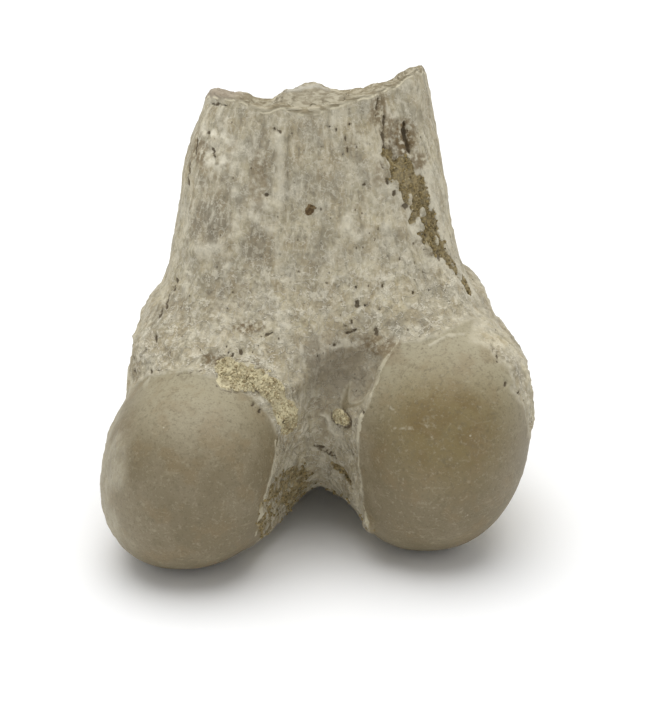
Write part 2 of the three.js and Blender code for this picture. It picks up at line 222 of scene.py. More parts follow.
STREAKED = (
    ((5.8, 39.2), (0.9, 2.8), 1.0), ((7.4, 37.4), (1.5, 2.2), 0.9), ((8.8, 34.6), (1.2, 2.0), 0.7),
    ((9.6, 38.8), (0.8, 2.2), 0.5), ((10.2, 30.6), (0.9, 2.4), 0.6),
)
IRON_SPOT = (-0.91, -4.1, 32.2)  # measured from the frame's origin, as the material reads places
IRON_RADIUS = 0.42
FAR_PEAK_TOP = (-1.5, 9.0, 41.0)
# Middle of the painted shade in the fossa above the notch.
HOLLOW_SHADE = (2.2, -7.2, 18.2)
OLIVE_STAIN = (11.4, -14.2, 15.8)
SLOT_PATH = ((7.8, 39.3), (7.9, 38.0), (8.3, 36.7))
SLOT_WIDTH = 0.13
ROUGH_SIDE = ((8, 20.5), (12, 19.6), (14.5, 18.8), (17.2, 17.9), (19.2, 17.0), (20.4, 16.2), (22, 14.8))
# Edges of the notch, along which a thin pale line is painted as a highlight.
LIPS = (
    (
        (7.2, 21.3), (6.0, 19.9), (5.5, 18.8), (5.0, 17.6), (4.5, 16.7), (4.0, 15.7), (3.7, 14.6),
        (3.5, 12.6), (3.6, 10.6), (3.9, 8.2), (4.1, 7.0), (4.3, 5.5), (4.7, 3.9),
    ),
    ((-3.9, 13.6), (-4.1, 11.2), (-4.6, 9.6), (-5.1, 8.4), (-5.8, 4.7)),
)
LIP_WIDTH = 0.085
CURL_PATH = ((0.2, 13.9), (0.7, 13.7), (1.0, 13.1), (1.0, 12.5), (1.5, 12.0), (2.2, 12.1))

# Tints of the bone, of its joint surfaces and of the crust.
ASH = (0.47, 0.435, 0.345)
STRAW = (0.52, 0.45, 0.29)
SHADE = (0.235, 0.20, 0.14)
EARTH = (0.36, 0.29, 0.175)
UMBER = (0.31, 0.24, 0.13)
PORE = (0.23, 0.19, 0.125)
PALE_BONE = (0.62, 0.575, 0.45)
CREAM_CLOUD = (0.66, 0.60, 0.45)
CREAM_FIBRE = (0.70, 0.65, 0.51)
CREAM_GRAIN = (0.72, 0.67, 0.54)
CHALK = (0.74, 0.69, 0.55)
VEIN = (0.76, 0.71, 0.58)
JOINT_FAWN = (0.225, 0.185, 0.113)
JOINT_PALE_ABOVE = (0.355, 0.315, 0.208)
JOINT_PALE = (0.36, 0.32, 0.215)
JOINT_BROWN = (0.225, 0.162, 0.078)
JOINT_DARK = (0.155, 0.125, 0.068)
JOINT_STREAK = (0.40, 0.355, 0.235)
JOINT_GRAIN = (0.38, 0.335, 0.23)
JOINT_PORE = (0.12, 0.095, 0.05)
DEEP_OLIVE = (0.175, 0.122, 0.045)
CRUST_DARK = (0.30, 0.235, 0.125)

# How finely the surface is laid out.
CELL = 0.2
MOST_TRIANGLES = 196000
BLOCK = 8
ROOM_ROUND_BONE = 1.5

# Stage, in metres.
FLOOR_HALF = 1.5
SKY_COLOUR = (0.985, 0.995, 1.0, 1.0)
LAMP_WIDTH = 0.7
LAMP_PLACE = (-0.03, 0.06, 0.6)
CAMERA_TARGET = (0.00134, -0.00118, 0.0168)
NUDGE = 0.02
SETTLE_ROUNDS = 2


class FossilBoneSettings(bpy.types.PropertyGroup):
    """Sizes and colours of the bone itself."""

    cell: FloatProperty(
        name="Cell",
        description="Distance between the points of the bone's surface, in millimetres",
        default=CELL, min=0.2, max=2.0,
    )
    relief: FloatProperty(
        name="Relief",
        description="How strongly pits, ridges and fibres stand out of the surface",
        default=1.0, min=0.0, max=2.0, subtype="FACTOR",
    )
    bone_grey: FloatVectorProperty(
        name="Bone, grey",
        description="Colour of the greyer bone on the shaft",
        default=(0.392, 0.346, 0.243), size=3, subtype="COLOR", min=0.0, max=1.0,
    )
    bone_cream: FloatVectorProperty(
        name="Bone, cream",
        description="Colour of the paler bone on the shaft",
        default=(0.515, 0.458, 0.318), size=3, subtype="COLOR", min=0.0, max=1.0,
    )
    joint_grey: FloatVectorProperty(
        name="Joint surface",
        description="Colour of the smooth joint surfaces",
        default=(0.185, 0.148, 0.082), size=3, subtype="COLOR", min=0.0, max=1.0,
    )
    joint_olive: FloatVectorProperty(
        name="Joint surface, stained",
        description="Colour of the olive stain on the outer condyle",
        default=(0.205, 0.155, 0.062), size=3, subtype="COLOR", min=0.0, max=1.0,
    )
    sediment: FloatVectorProperty(
        name="Sediment",
        description="Colour of the sand left in the groove",
        default=(0.30, 0.228, 0.098), size=3, subtype="COLOR", min=0.0, max=1.0,
    )
    crust: FloatVectorProperty(
        name="Crust",
        description="Colour of the pale crust beside the notch",
        default=(0.62, 0.55, 0.345), size=3, subtype="COLOR", min=0.0, max=1.0,
    )


class FossilGrainSettings(bpy.types.PropertyGroup):
    """Sizes of the loose-looking grains that sit on the bone."""

    grain: FloatProperty(
        name="Grain",
        description="Mean width of one grain of sediment",
        default=0.00026, min=0.0001, max=0.001, unit="LENGTH",
    )
    per_mm2: FloatProperty(
        name="Grains per square millimetre",
        description="How closely the grains of sediment lie",
        default=9.0, min=0.5, max=40.0,
    )
    seed: IntProperty(
        name="Seed",
        description="Number that fixes where the grains fall",
        default=7, min=0,
    )


class FossilStageSettings(bpy.types.PropertyGroup):
    """Floor, light and camera."""

    floor_colour: FloatVectorProperty(
        name="Floor",
        description="Colour of the floor",
        default=(0.96, 0.96, 0.96), size=3, subtype="COLOR", min=0.0, max=1.0,
    )
    sky: FloatProperty(
        name="Sky",
        description="Strength of the even light from all round",
        default=0.55, min=0.0, max=5.0,
    )
    lamp: FloatProperty(
        name="Overhead lamp",
        description="Power of the wide lamp above the bone",
        default=3.35, min=0.0, max=100.0, unit="POWER",
    )
    lens: FloatProperty(
        name="Lens",
        description="Focal length of the camera, in millimetres",
        default=108.05, min=20.0, max=300.0,
    )
    camera_distance: FloatProperty(
        name="Camera distance",
        description="Distance from the camera to the middle of the bone",
        default=0.2, min=0.05, max=2.0, unit="LENGTH",
    )
    camera_elevation: FloatProperty(
        name="Camera elevation",
        description="Angle at which the camera looks down",
        default=math.radians(25.0), min=0.0, max=math.pi / 2, subtype="ANGLE",
    )


# Numbers and noise


def clamp(t):
    return np.clip(t, 0.0, 1.0)


def ease(low, high, t):
    """0 below low, 1 above high, and a smooth step between."""
    t = clamp((t - low) / (high - low))
    return t * t * (3.0 - 2.0 * t)


def hump(t, middle, width):
    return np.exp(-(((t - middle) / width) ** 2))


def scramble(i, j, k, seed):
    """A repeatable number from 0 to 1 for each corner i, j, k of a grid."""
    h = i.astype(np.uint32) * np.uint32(0x8DA6B343)
    h ^= j.astype(np.uint32) * np.uint32(0xD8163841)
    h ^= k.astype(np.uint32) * np.uint32(0xCB1AB31F)
    h ^= np.uint32((seed * 0x9E3779B1) & 0xFFFFFFFF)
    h ^= h >> np.uint32(13)
    h *= np.uint32(0x5BD1E995)
    h ^= h >> np.uint32(15)
    h *= np.uint32(0x27D4EB2F)
    h ^= h >> np.uint32(13)
    return h.astype(np.float64) / 4294967296.0


def noise(p, size, seed):
    """Smooth noise from -1 to 1; size is its grain across x, y and z."""
    size = np.broadcast_to(np.asarray(size, float), (3,))
    q = [p[a] / size[a] + 137.31 * (a + 1) for a in range(3)]
    whole = [np.floor(v).astype(np.int64) for v in q]
    part = [v - w for v, w in zip(q, whole)]
    part = [t * t * t * (t * (t * 6 - 15) + 10) for t in part]
    total = 0.0
    for corner in range(8):
        step = [(corner >> a) & 1 for a in range(3)]
        weight = 1.0
        for a in range(3):
            weight = weight * (part[a] if step[a] else 1 - part[a])
        total = total + weight * scramble(*(whole[a] + step[a] for a in range(3)), seed)
    return total * 2.0 - 1.0


def layered(p, size, seed, layers=3, fade=0.55):
    """Noise with finer noise on it."""
    size = np.broadcast_to(np.asarray(size, float), (3,))
    total, weight, whole = 0.0, 1.0, 0.0
    for layer in range(layers):
        total = total + weight * noise(p, size / 2.0**layer, seed + 31 * layer)
        whole += weight
        weight *= fade
    return total / whole


def specks(p, spacing, chance, radius, seed):
    """1 in the middle of scattered spots, falling to 0 at their rim; spacing may differ by axis."""
    spacing = np.broadcast_to(np.asarray(spacing, float), (3,))
    q = [p[a] / spacing[a] + 71.7 * (a + 1) for a in range(3)]
    whole = [np.floor(v).astype(np.int64) for v in q]
    best = np.zeros_like(p[0])
    for di in (-1, 0, 1):
        for dj in (-1, 0, 1):
            for dk in (-1, 0, 1):
                cell = (whole[0] + di, whole[1] + dj, whole[2] + dk)
                there = scramble(*cell, seed) < chance
                span = radius * (0.5 + 0.5 * scramble(*cell, seed + 1))
                away = 0.0
                for a in range(3):
                    away = away + (q[a] - cell[a] - scramble(*cell, seed + 2 + a)) ** 2
                best = np.maximum(best, np.where(there, clamp(1.0 - np.sqrt(away) / span), 0.0))
    return best


# Solid shapes: each gives the distance to a surface, below 0 inside it


def join(a, b, round_off):
    h = np.maximum(round_off - np.abs(a - b), 0.0) / round_off
    return np.minimum(a, b) - h * h * round_off * 0.25


def keep(a, b, round_off):
    return -join(-a, -b, round_off)


def cut(a, b, round_off):
    return keep(a, -b, round_off)


def lump(p, centre, radii, power=2.0, skew=0.0):
    """A rounded block; skew leans it sideways as it rises."""
    x = p[0] - centre[0] - skew * (p[2] - centre[2])
    r = [np.abs(x) / radii[0], np.abs(p[1] - centre[1]) / radii[1], np.abs(p[2] - centre[2]) / radii[2]]
    size = np.maximum((r[0] ** power + r[1] ** power + r[2] ** power) ** (1 / power), 1e-4)
    slope = np.sqrt(sum((r[a] ** (power - 1) / radii[a]) ** 2 for a in range(3))) * size ** (1 - power)
    return (size - 1) / np.maximum(slope, 1e-4)


def rod(p, start, end, start_radius, end_radius):
    start, end = np.array(start, float), np.array(end, float)
    way = end - start
    t = clamp(sum((p[a] - start[a]) * way[a] for a in range(3)) / (way @ way))
    return np.sqrt(sum((p[a] - start[a] - t * way[a]) ** 2 for a in range(3))) - (
        start_radius + (end_radius - start_radius) * t
    )


def curve_through(z, stations):
    """A smooth curve through (height, value) stations."""
    heights = np.array([s[0] for s in stations], float)
    values = np.array([s[1] for s in stations], float)
    slopes = np.gradient(values, heights)
    z = np.clip(z, heights[0], heights[-1])
    i = np.clip(np.searchsorted(heights, z) - 1, 0, len(heights) - 2)
    h = heights[i + 1] - heights[i]
    t = (z - heights[i]) / h
    return (
        (2 * t**3 - 3 * t**2 + 1) * values[i]
        + (t**3 - 2 * t**2 + t) * h * slopes[i]
        + (3 * t**2 - 2 * t**3) * values[i + 1]
        + (t**3 - t**2) * h * slopes[i + 1]
    )


def rounded(u, v, half_u, half_v, power):
    """Distance to a rounded rectangle about 0, 0."""
    r, s = np.abs(u) / half_u, np.abs(v) / half_v
    size = np.maximum((r**power + s**power) ** (1 / power), 1e-3)
    steep = np.sqrt((r ** (power - 1) / half_u) ** 2 + (s ** (power - 1) / half_v) ** 2)
    return (size - 1) / np.maximum(steep * size ** (1 - power), 1e-3)


# The bone's parts


def shaft(p):
    x, y, z = p
    middle_y = AXIS_Y + math.tan(math.radians(LEAN)) * (z - AXIS_Z)
    power = np.where(y < middle_y, BACK_SQUARENESS, FRONT_SQUARENESS)
    inner, outer = curve_through(z, INNER_EDGE), curve_through(z, OUTER_EDGE)
    side = rounded(
        x - (inner + outer) / 2, y - middle_y, (outer - inner) / 2, curve_through(z, HALF_DEPTH), power
    )
    return keep(side * 0.95, SHAFT_FOOT - z, 3.0)


def kneecap_groove(p):
    x, y, z = p
    rise = np.maximum(z - GROOVE_RISE_Z, 0.0)
    ring_y = y - GROOVE_CENTRE[0] + GROOVE_RISE_SLOPE * rise
    ring_z = z - rise - GROOVE_CENTRE[1]
    ring = np.sqrt(ring_y**2 + ring_z**2) - GROOVE_RING
    trough = np.sqrt(ring**2 + ((x - GROOVE_X) * 0.85) ** 2) - GROOVE_RADIUS
    return keep(keep(trough, GROOVE_BACK_Y - y, 2.0), z - GROOVE_TOP_Z, 3.0)


def notch(p):
    x, y, z = p
    depth = np.maximum(curve_through(z, NOTCH_FLOOR_Y) - NOTCH_BACK_Y, 1.5)
    aside = x - curve_through(z, NOTCH_MID_X)
    outer = aside > 0.0
    wide = np.where(outer, curve_through(z, NOTCH_OUTER_WIDTH), curve_through(z, NOTCH_INNER_WIDTH))
    power = NOTCH_FOOT_POWER + (NOTCH_POWER - NOTCH_FOOT_POWER) * ease(5.0, 10.0, z)
    power = power + np.where(outer, (NOTCH_OUTER_TOP_POWER - NOTCH_POWER) * ease(14.0, 18.5, z), 0.0)
    return rounded(aside, y - NOTCH_BACK_Y, wide, depth, power) * 0.85


def arch(p):
    x, y, z = p
    run = clamp((y - ARCH["back_y"]) / ARCH["run"])
    high = ARCH["high"] - ARCH["fall"] * run
    wide = ARCH["wide"] - ARCH["narrowing"] * run
    return rounded(x - ARCH["mid_x"], z + ARCH["sunk"], wide, high, ARCH["power"])


def break_height(p):
    """Height of the broken face over x, y."""
    x, y, _ = p
    near = BREAK_Z + OUTER_RISE * ease(-1.0, 10.0, x) + CORNER_RISE * ease(6.0, 10.0, x)
    for middle, width, height in BREAK_PEAKS:
        near = near + height * hump(x, middle, width)
    far = FAR_PEAK[2] * hump(x, FAR_PEAK[0], FAR_PEAK[1]) * ease(6.0, 14.0, y)
    return near - BREAK_FALL * (y + 1.0) + far


def ragged_break(p):
    """Splinters and layers of the broken face, across its height."""
    flat = (p[0], p[1], np.zeros_like(p[0]))
    ragged = 0.40 * layered(flat, 2.4, 11) + 0.24 * layered(flat, 0.9, 12, 3)
    inside = ease(0.4, 2.4, -shaft(p))
    return ragged - 0.55 * inside * (0.6 + 0.4 * noise(flat, 2.2, 13))


def broken_face(p):
    return (p[2] - break_height(p) - ragged_break(p)) * 0.93


def bone_shape(p):
    x, _, z = p
    d = join(shaft(p), lump(p, **TROCHLEA), 3.5)
    d = join(d, rod(p, *INNER_ARM), 3.0)
    d = join(d, rod(p, *OUTER_ARM), 3.0)
    d = join(d, rod(p, *SHELF), 8.0)
    d = join(d, lump(p, **INNER_EPICONDYLE), 3.0)
    d = join(d, lump(p, **OUTER_EPICONDYLE), 2.0)
    d = join(d, lump(p, **OUTER_CREST), 1.2)
    d = cut(d, kneecap_groove(p), 2.2)
    d = join(d, lump(p, **INNER_CONDYLE), 1.3)
    d = join(d, lump(p, **OUTER_CONDYLE), 1.3)
    crisp = np.where(x > 0.0, 0.2 + 2.4 * ease(19.5, 22.0, z), 0.3 + 2.4 * ease(15.0, 20.0, z))
    d = cut(d, notch(p), crisp)
    d = cut(d, lump(p, **HOLLOW), 0.5 + 1.9 * ease(4.6, 3.2, x - HOLLOW["skew"] * (z - HOLLOW["centre"][2])))
    for start, end in zip(CRUST_RODS, CRUST_RODS[1:]):
        d = join(d, rod(p, start, end, CRUST_RADIUS, CRUST_RADIUS), 2.0)
    d = cut(d, rod(p, *BACK_GROOVE), 1.6)
    d = cut(d, arch(p), 1.0)
    d = join(d, lump(p, **LIP_CHIP), 0.4)
    high = z > BREAK_Z - 8.0
    if high.any():
        d[high] = keep(d[high], broken_face([v[high] for v in p]), 0.25)
    return np.maximum(d, -z)


# The surface of a shape, as points and four-sided faces


def sampled(shape, low, high, cell):
    """The shape's distances on a grid, worked out only in the blocks near its surface."""
    blocks = np.ceil((high - low) / (cell * BLOCK)).astype(int)
    middles = [low[a] + cell * (BLOCK * np.arange(blocks[a]) + (BLOCK - 1) / 2) for a in range(3)]
    coarse = shape([v.ravel() for v in np.meshgrid(*middles, indexing="ij")]).reshape(blocks)
    near = np.abs(coarse) < cell * BLOCK * 0.5 * math.sqrt(3) * 1.4
    grid, wanted = coarse, near
    for a in range(3):
        grid = np.repeat(grid, BLOCK, axis=a)
        wanted = np.repeat(wanted, BLOCK, axis=a)
    places = np.nonzero(wanted)
    at = [low[a] + cell * places[a] for a in range(3)]
    grid = np.array(grid)
    grid[places] = shape(at)
    return grid


def skin(grid, low, cell):
    """One point in each cell that the surface crosses, and a face round each crossed edge."""
    inside = grid < 0
    count = np.zeros(np.array(grid.shape) - 1, np.int8)
    for corner in range(8):
        i, j, k = (slice(c, c - 1 or None) for c in ((corner >> a) & 1 for a in range(3)))
        count += inside[i, j, k]
    cells = np.nonzero((count > 0) & (count < 8))
    number = np.full(count.shape, -1, np.int64)
    number[cells] = np.arange(len(cells[0]))
    total = np.zeros((len(cells[0]), 3))
    hits = np.zeros(len(cells[0]))
    for axis in range(3):
        for other in range(4):
            start = [0, 0, 0]
            start[(axis + 1) % 3], start[(axis + 2) % 3] = other & 1, other >> 1
            end = list(start)
            end[axis] = 1
            a = grid[tuple(cells[n] + start[n] for n in range(3))]
            b = grid[tuple(cells[n] + end[n] for n in range(3))]
            crossed = (a < 0) != (b < 0)
            t = np.where(crossed, a / np.where(crossed, a - b, 1.0), 0.0)
            for n in range(3):
                total[:, n] += np.where(crossed, start[n] + t * (end[n] - start[n]), 0.0)
            hits += crossed
    points = low + cell * (np.stack(cells, 1) + total / hits[:, None])
    return points, faces_round_edges(inside, number)


def faces_round_edges(inside, number):
    faces = []
    for axis in range(3):
        u, v = (axis + 1) % 3, (axis + 2) % 3
        first, second = [slice(1, -1)] * 3, [slice(1, -1)] * 3
        first[axis], second[axis] = slice(0, -1), slice(1, None)
        here, there = inside[tuple(first)], inside[tuple(second)]
        edge = np.stack(np.nonzero(here != there), 1)
        leaving = here[tuple(edge.T)]
        edge = edge + 1
        edge[:, axis] -= 1
        ring = []
        for du, dv in ((1, 1), (0, 1), (0, 0), (1, 0)):
            corner = edge.copy()
            corner[:, u] -= du
            corner[:, v] -= dv
            ring.append(number[tuple(corner.T)])
        ring = np.stack(ring, 1)
        faces.append(np.where(leaving[:, None], ring, ring[:, ::-1]))
    return np.concatenate(faces)


def slope(shape, points, here):
    """The shape's slope at points, which is the way its surface faces."""
    columns = []
    for a in range(3):
        ahead = points.copy()
        ahead[:, a] += NUDGE
        columns.append((shape(list(ahead.T)) - here) / NUDGE)
    return np.stack(columns, 1)


def settle(shape, points):
    """Points moved onto the surface, none of them below the floor."""
    for _ in range(SETTLE_ROUNDS):
        d = shape(list(points.T))
        g = slope(shape, points, d)
        points = points - g * (d / np.maximum((g**2).sum(1), 0.3))[:, None]
        points[:, 2] = np.maximum(points[:, 2], 0.0)
    return points


# Relief and the marks that the material reads


def along(p, path, widths=None):
    """Distance to a path, and the path's width at the nearest place; p and path may be flat."""
    best = np.full_like(p[0], 1e9)
    width = np.ones_like(p[0])
    for n in range(len(path) - 1):
        start, end = np.array(path[n], float), np.array(path[n + 1], float)
        way = end - start
        t = clamp(sum((p[a] - start[a]) * way[a] for a in range(len(start))) / (way @ way))
        away = np.sqrt(sum((p[a] - start[a] - t * way[a]) ** 2 for a in range(len(start))))
        nearer = away < best
        best = np.where(nearer, away, best)
        if widths:
            width = np.where(nearer, widths[n] + t * (widths[n + 1] - widths[n]), width)
    return best, width


def nearest(p, paths):
    return np.minimum.reduce([along(p, path)[0] for path in paths])


def near_place(p, place, radius):
    """1 at a place, falling smoothly to 0 at the radius."""
    away = np.sqrt(sum((p[a] - place[a]) ** 2 for a in range(3)))
    return 1.0 - ease(0.2 * radius, radius, away)


def patches(back, spots, edge):
    """The strongest of some oval patches, with an edge made uneven by noise."""
    best = np.zeros_like(back[0])
    for (x, z), (half_x, half_z), strength in spots:
        away = np.sqrt(((back[0] - x) / half_x) ** 2 + ((back[1] - z) / half_z) ** 2)
        best = np.maximum(best, strength * ease(1.25, 0.6, away + edge))
    return best


def holes_in_back(back, uneven):
    """1 in the middle of each placed hole or slit, 0 from its rim out."""
    best = np.zeros_like(back[0])
    for size, places in zip(HOLE_SIZES, (SMALL_HOLES, MIDDLE_HOLES, LARGE_HOLES)):
        for x, z in places:
            away = np.sqrt((back[0] - x) ** 2 + ((back[1] - z) * 0.8) ** 2) + size * uneven
            best = np.maximum(best, ease(1.5 * size, 0.5 * size, away))
    slits = nearest(back, SLITS) + 1.2 * SLIT_WIDTH * uneven
    return np.maximum(best, 0.9 * ease(1.6 * SLIT_WIDTH, 0.4 * SLIT_WIDTH, slits))


def joint_surfaces(p, behind):
    """How surely each point is on the outer cap, on any joint surface, and on the notch's lip, where a pale
    highlight is painted.
    """
    x, y, z = p
    inner, outer, open_notch = lump(p, **INNER_CONDYLE), lump(p, **OUTER_CONDYLE), notch(p)
    wobble = 0.22 * noise(p, 1.6, 21)
    opened = np.minimum(open_notch, lump(p, **HOLLOW))
    clear = ease(0.0, 0.12, opened)
    by_lip = 1.3 * ease(9.5, 6.5, x) * ease(22.5, 20.8, z)
    rough_margin = x + 0.5 * np.maximum(z - 15.0, 0.0) + 1.6 * noise(p, 2.2, 23)
    rough_margin = rough_margin - 0.12 * np.maximum(9.0 - z, 0.0)
    rough_side = x - curve_through(z, ROUGH_SIDE) + 0.9 * layered(p, 2.0, 26)
    inner_cap = ease(0.7, 0.35, np.abs(inner) + wobble) * clear
    inner_cap = inner_cap * (0.6 + 0.4 * ease(-19.8, -16.4, rough_margin))
    outer_cap = ease(0.7, 0.35, np.abs(outer) - by_lip + wobble) * clear
    outer_cap = outer_cap * behind * ease(0.5, -0.5, rough_side)
    front = ease(4.0, 8.0, y) * ease(27.0, 22.0, z + 3.0 * noise(p, 4.0, 22)) * ease(14.0, 11.0, np.abs(x))
    away = nearest((x, z), LIPS) + 0.10 * noise(p, 0.7, 24)
    # A thin pale line along the notch's edges, painted as a highlight.
    lip = ease(2.0 * LIP_WIDTH, 0.6 * LIP_WIDTH, away) * behind * (0.7 + 0.3 * noise(p, 0.9, 25))
    return outer_cap, np.maximum.reduce([inner_cap, outer_cap, front]), lip


class Weathering:
    """Relief and marks gathered for each point of the bone's surface."""

    def __init__(self, points, facing):
        p = list(points.T)
        self.p = p
        self.facing = facing
        self.back = (p[0], p[2])
        self.behind = ease(0.02, 0.3, -facing[:, 1])
        self.uneven = 0.35 * layered(p, 1.1, 20)
        self.broken = ease(-0.8, -0.2, broken_face(p)) * ease(30.0, 33.0, p[2])
        self.outer_cap, self.joint, self.lip = joint_surfaces(p, self.behind)
        self.raw = clamp(1.0 - self.joint) * (1.0 - self.broken)
        self.in_notch = ease(0.5, 0.1, np.abs(notch(p))) * ease(19.5, 17.0, p[2])
        self.height = np.zeros_like(p[0])
        self.dark = np.zeros_like(p[0])
        self.pale = np.zeros_like(p[0])
        self.sediment = np.zeros_like(p[0])
        self.crust = np.zeros_like(p[0])

    def darken(self, *shades):
        self.dark = np.maximum.reduce([self.dark, *shades])

    def whiten(self, *shades):
        self.pale = np.maximum.reduce([self.pale, *shades])

    def lumps_and_fibres(self):
        p, raw = self.p, self.raw
        self.height += raw * 0.22 * layered(p, 2.6, 31, 3)
        self.height += raw * 0.06 * layered(p, (0.5, 0.5, 3.2), 34, 2)
        self.height += raw * (0.09 + 0.05 * ease(31.0, 26.0, p[2])) * layered(p, 0.8, 36, 2)
        self.height += self.joint * 0.03 * layered(p, 1.8, 37, 3)

    def pits_and_flanks(self):
        """Scattered pits, the rough margins beside the condyles, and grooves down both sides."""
        p, raw = self.p, self.raw
        x, _, z = p
        outer_margin = ease(15.2, 16.4, x) * ease(23.5, 21.5, z)
        margin = np.maximum(outer_margin, ease(-14.4, -15.6, x) * ease(21.0, 19.0, z))
        rough_zone = np.maximum(ease(0.1, 0.45, layered(p, 5.0, 48)) * ease(33.0, 26.0, z), margin)
        pits = specks(p, (0.8, 0.8, 1.3), 0.16, 0.34, 41) * raw
        pits = np.maximum(pits, specks(p, (0.6, 0.6, 0.9), 0.4, 0.38, 47) * raw * rough_zone)
        self.height += margin * raw * 0.22 * layered(p, 0.9, 49, 3)
        flank = ease(0.35, 0.75, np.abs(self.facing[:, 0])) * ease(8.0, 11.0, z) * ease(40.0, 30.0, z) * raw
        grooves = specks(p, (0.5, 0.8, 2.6), 0.3, 0.34, 44) * flank
        self.height -= 0.15 * ease(0.0, 0.7, pits) + 0.14 * ease(0.0, 0.7, grooves)
        self.height += flank * ease(26.0, 20.0, z) * 0.26 * layered(p, 1.5, 65, 3)
        self.darken(0.75 * ease(0.2, 0.7, pits), 0.6 * ease(0.2, 0.8, grooves))

    def holes_and_cracks(self):
        p, back, behind = self.p, self.back, self.behind
        placed = holes_in_back(back, 0.8 * noise(p, 0.35, 43)) * behind
        away = nearest(back, HAIR_CRACKS) + 0.06 * noise(p, 0.5, 42)
        hairs = 0.8 * ease(1.5 * HAIR_WIDTH, 0.3 * HAIR_WIDTH, away) * behind
        hairs = hairs * ease(-0.5, 0.3, noise(p, 1.2, 45))
        self.height -= 0.25 * placed + 0.07 * hairs
        self.darken(placed, 0.8 * hairs)

    def sand_in_groove(self):
        """Sand with islands of bone in it, a dark edge, and a knobbly pale bank beside it."""
        p = self.p
        fill, width = along(p, GROOVE_FILL, GROOVE_FILL_WIDTH)
        edge = fill - width - 1.3 * layered(p, (1.3, 1.3, 1.8), 51)
        edge = edge + 0.5 * ease(0.15, 0.5, noise(p, (0.8, 0.8, 1.5), 53))
        islands = ease(0.16, 0.34, layered(p, (0.8, 0.8, 1.3), 77, 2))
        sand = ease(0.12, -0.12, edge) * (1.0 - self.broken) * (1.0 - islands)
        bank = ease(1.6, 0.4, edge) * ease(-0.1, 0.1, edge) * self.raw
        self.height += islands * ease(0.2, -0.2, edge) * 0.12
        self.height += sand * (0.14 * layered(p, 0.5, 52, 2) - 0.14)
        self.height += bank * 0.10 * layered(p, (0.4, 0.4, 1.2), 54, 2)
        self.darken(0.6 * hump(edge, 0.05, 0.13) * self.raw)
        self.whiten(0.5 * bank)
        self.sediment = np.maximum(self.sediment, sand)

    def crust_by_notch(self):
        p, behind = self.p, self.behind
        crusted, _ = along(self.back, CRUST_PATH)
        edge = crusted - CRUST_WIDTH - 0.5 * layered(p, 0.9, 55)
        self.crust = ease(0.15, -0.15, edge) * behind
        self.height += self.crust * (0.14 + 0.16 * layered(p, 0.42, 56, 2))
        self.darken(0.7 * hump(edge, 0.16, 0.10) * behind * ease(16.0, 17.5, p[2]))

    def notch_walls(self):
        """Sand on the notch's inner wall and foot, and the fibres and seams of its floor."""
        p, uneven, in_notch = self.p, self.uneven, self.in_notch
        x, y, z = p
        walls = ease(9.6, 8.2, z + 0.5 * uneven) * in_notch * ease(0.2, -1.6, x + uneven)
        walls = np.maximum(walls, 0.8 * ease(6.0, 4.0, z) * in_notch)
        walls = clamp(walls * (0.72 + 1.0 * layered(p, 1.0, 58)))
        lines = layered((x * 0.35 + y * 0.3, y * 0.4, z + 0.35 * x), (1.0, 1.0, 0.42), 57, 2)
        seams = hump(np.abs(lines + 0.1), 0.0, 0.10) * in_notch * ease(11.5, 9.5, z)
        self.height += in_notch * (0.09 * lines + walls * 0.16 * layered(p, 0.45, 59, 2)) - 0.08 * seams
        self.darken(0.45 * seams)
        self.sediment = np.maximum(self.sediment, 0.75 * walls)

    def notch_pits(self):
        """The rimmed pit in the notch, the long pit and the brown one below it."""
        p, back, behind, uneven = self.p, self.back, self.behind, self.uneven
        x, _, z = p
        grit = layered(p, 0.35, 66, 2)
        (rim_x, rim_z), rim = RIM_PIT
        from_rim = np.sqrt((x - rim_x) ** 2 + ((z - rim_z) * 0.9) ** 2)
        rim_line = hump(from_rim, rim, 0.16) * behind * self.in_notch
        in_rim = ease(rim, rim - 0.2, from_rim) * behind * self.in_notch
        away, wide = along(back, LONG_PIT, LONG_PIT_WIDTH)
        long_pit = ease(0.16, -0.16, away - wide + 0.2 * uneven) * behind
        self.darken(0.75 * hump(away - wide, 0.0, 0.1) * behind, long_pit * ease(0.05, -0.2, grit))
        away, wide = along(back, BROWN_PIT, BROWN_PIT_WIDTH)
        brown_pit = ease(0.16, -0.16, away - wide + 0.3 * uneven) * behind
        self.darken(0.5 * hump(away - wide, 0.0, 0.12) * behind, 0.8 * rim_line)
        self.height += 0.2 * in_rim * grit - 0.22 * rim_line
        self.height += long_pit * (0.3 * grit - 0.35) + brown_pit * (0.25 * grit - 0.3)
        self.sediment = np.maximum(self.sediment, brown_pit)
        self.crust = np.maximum(self.crust, in_rim)

    def slot_and_streaks(self):
        """The open slot at the top of the back groove, and the brown streaks round it."""
        p, back, behind, uneven = self.p, self.back, self.behind, self.uneven
        streaks = ease(0.05, 0.35, layered(p, (0.45, 0.8, 2.6), 84, 2))
        streaks = streaks * patches(back, STREAKED, uneven) * behind
        away = along(back, SLOT_PATH)[0] + 0.5 * SLOT_WIDTH * uneven
        slot = ease(1.5 * SLOT_WIDTH, 0.6 * SLOT_WIDTH, away) * behind
        self.height -= 0.16 * streaks + 0.45 * slot
        self.darken(0.62 * streaks, slot)

    def curl_in_notch(self):
        away = along(self.back, CURL_PATH)[0]
        curl = hump(away, 0.0, 0.17) * self.behind
        edge = hump(away, 0.34, 0.10) * self.behind
        self.height += 0.16 * curl - 0.06 * edge
        self.darken(0.45 * edge)
        self.whiten(0.6 * curl)

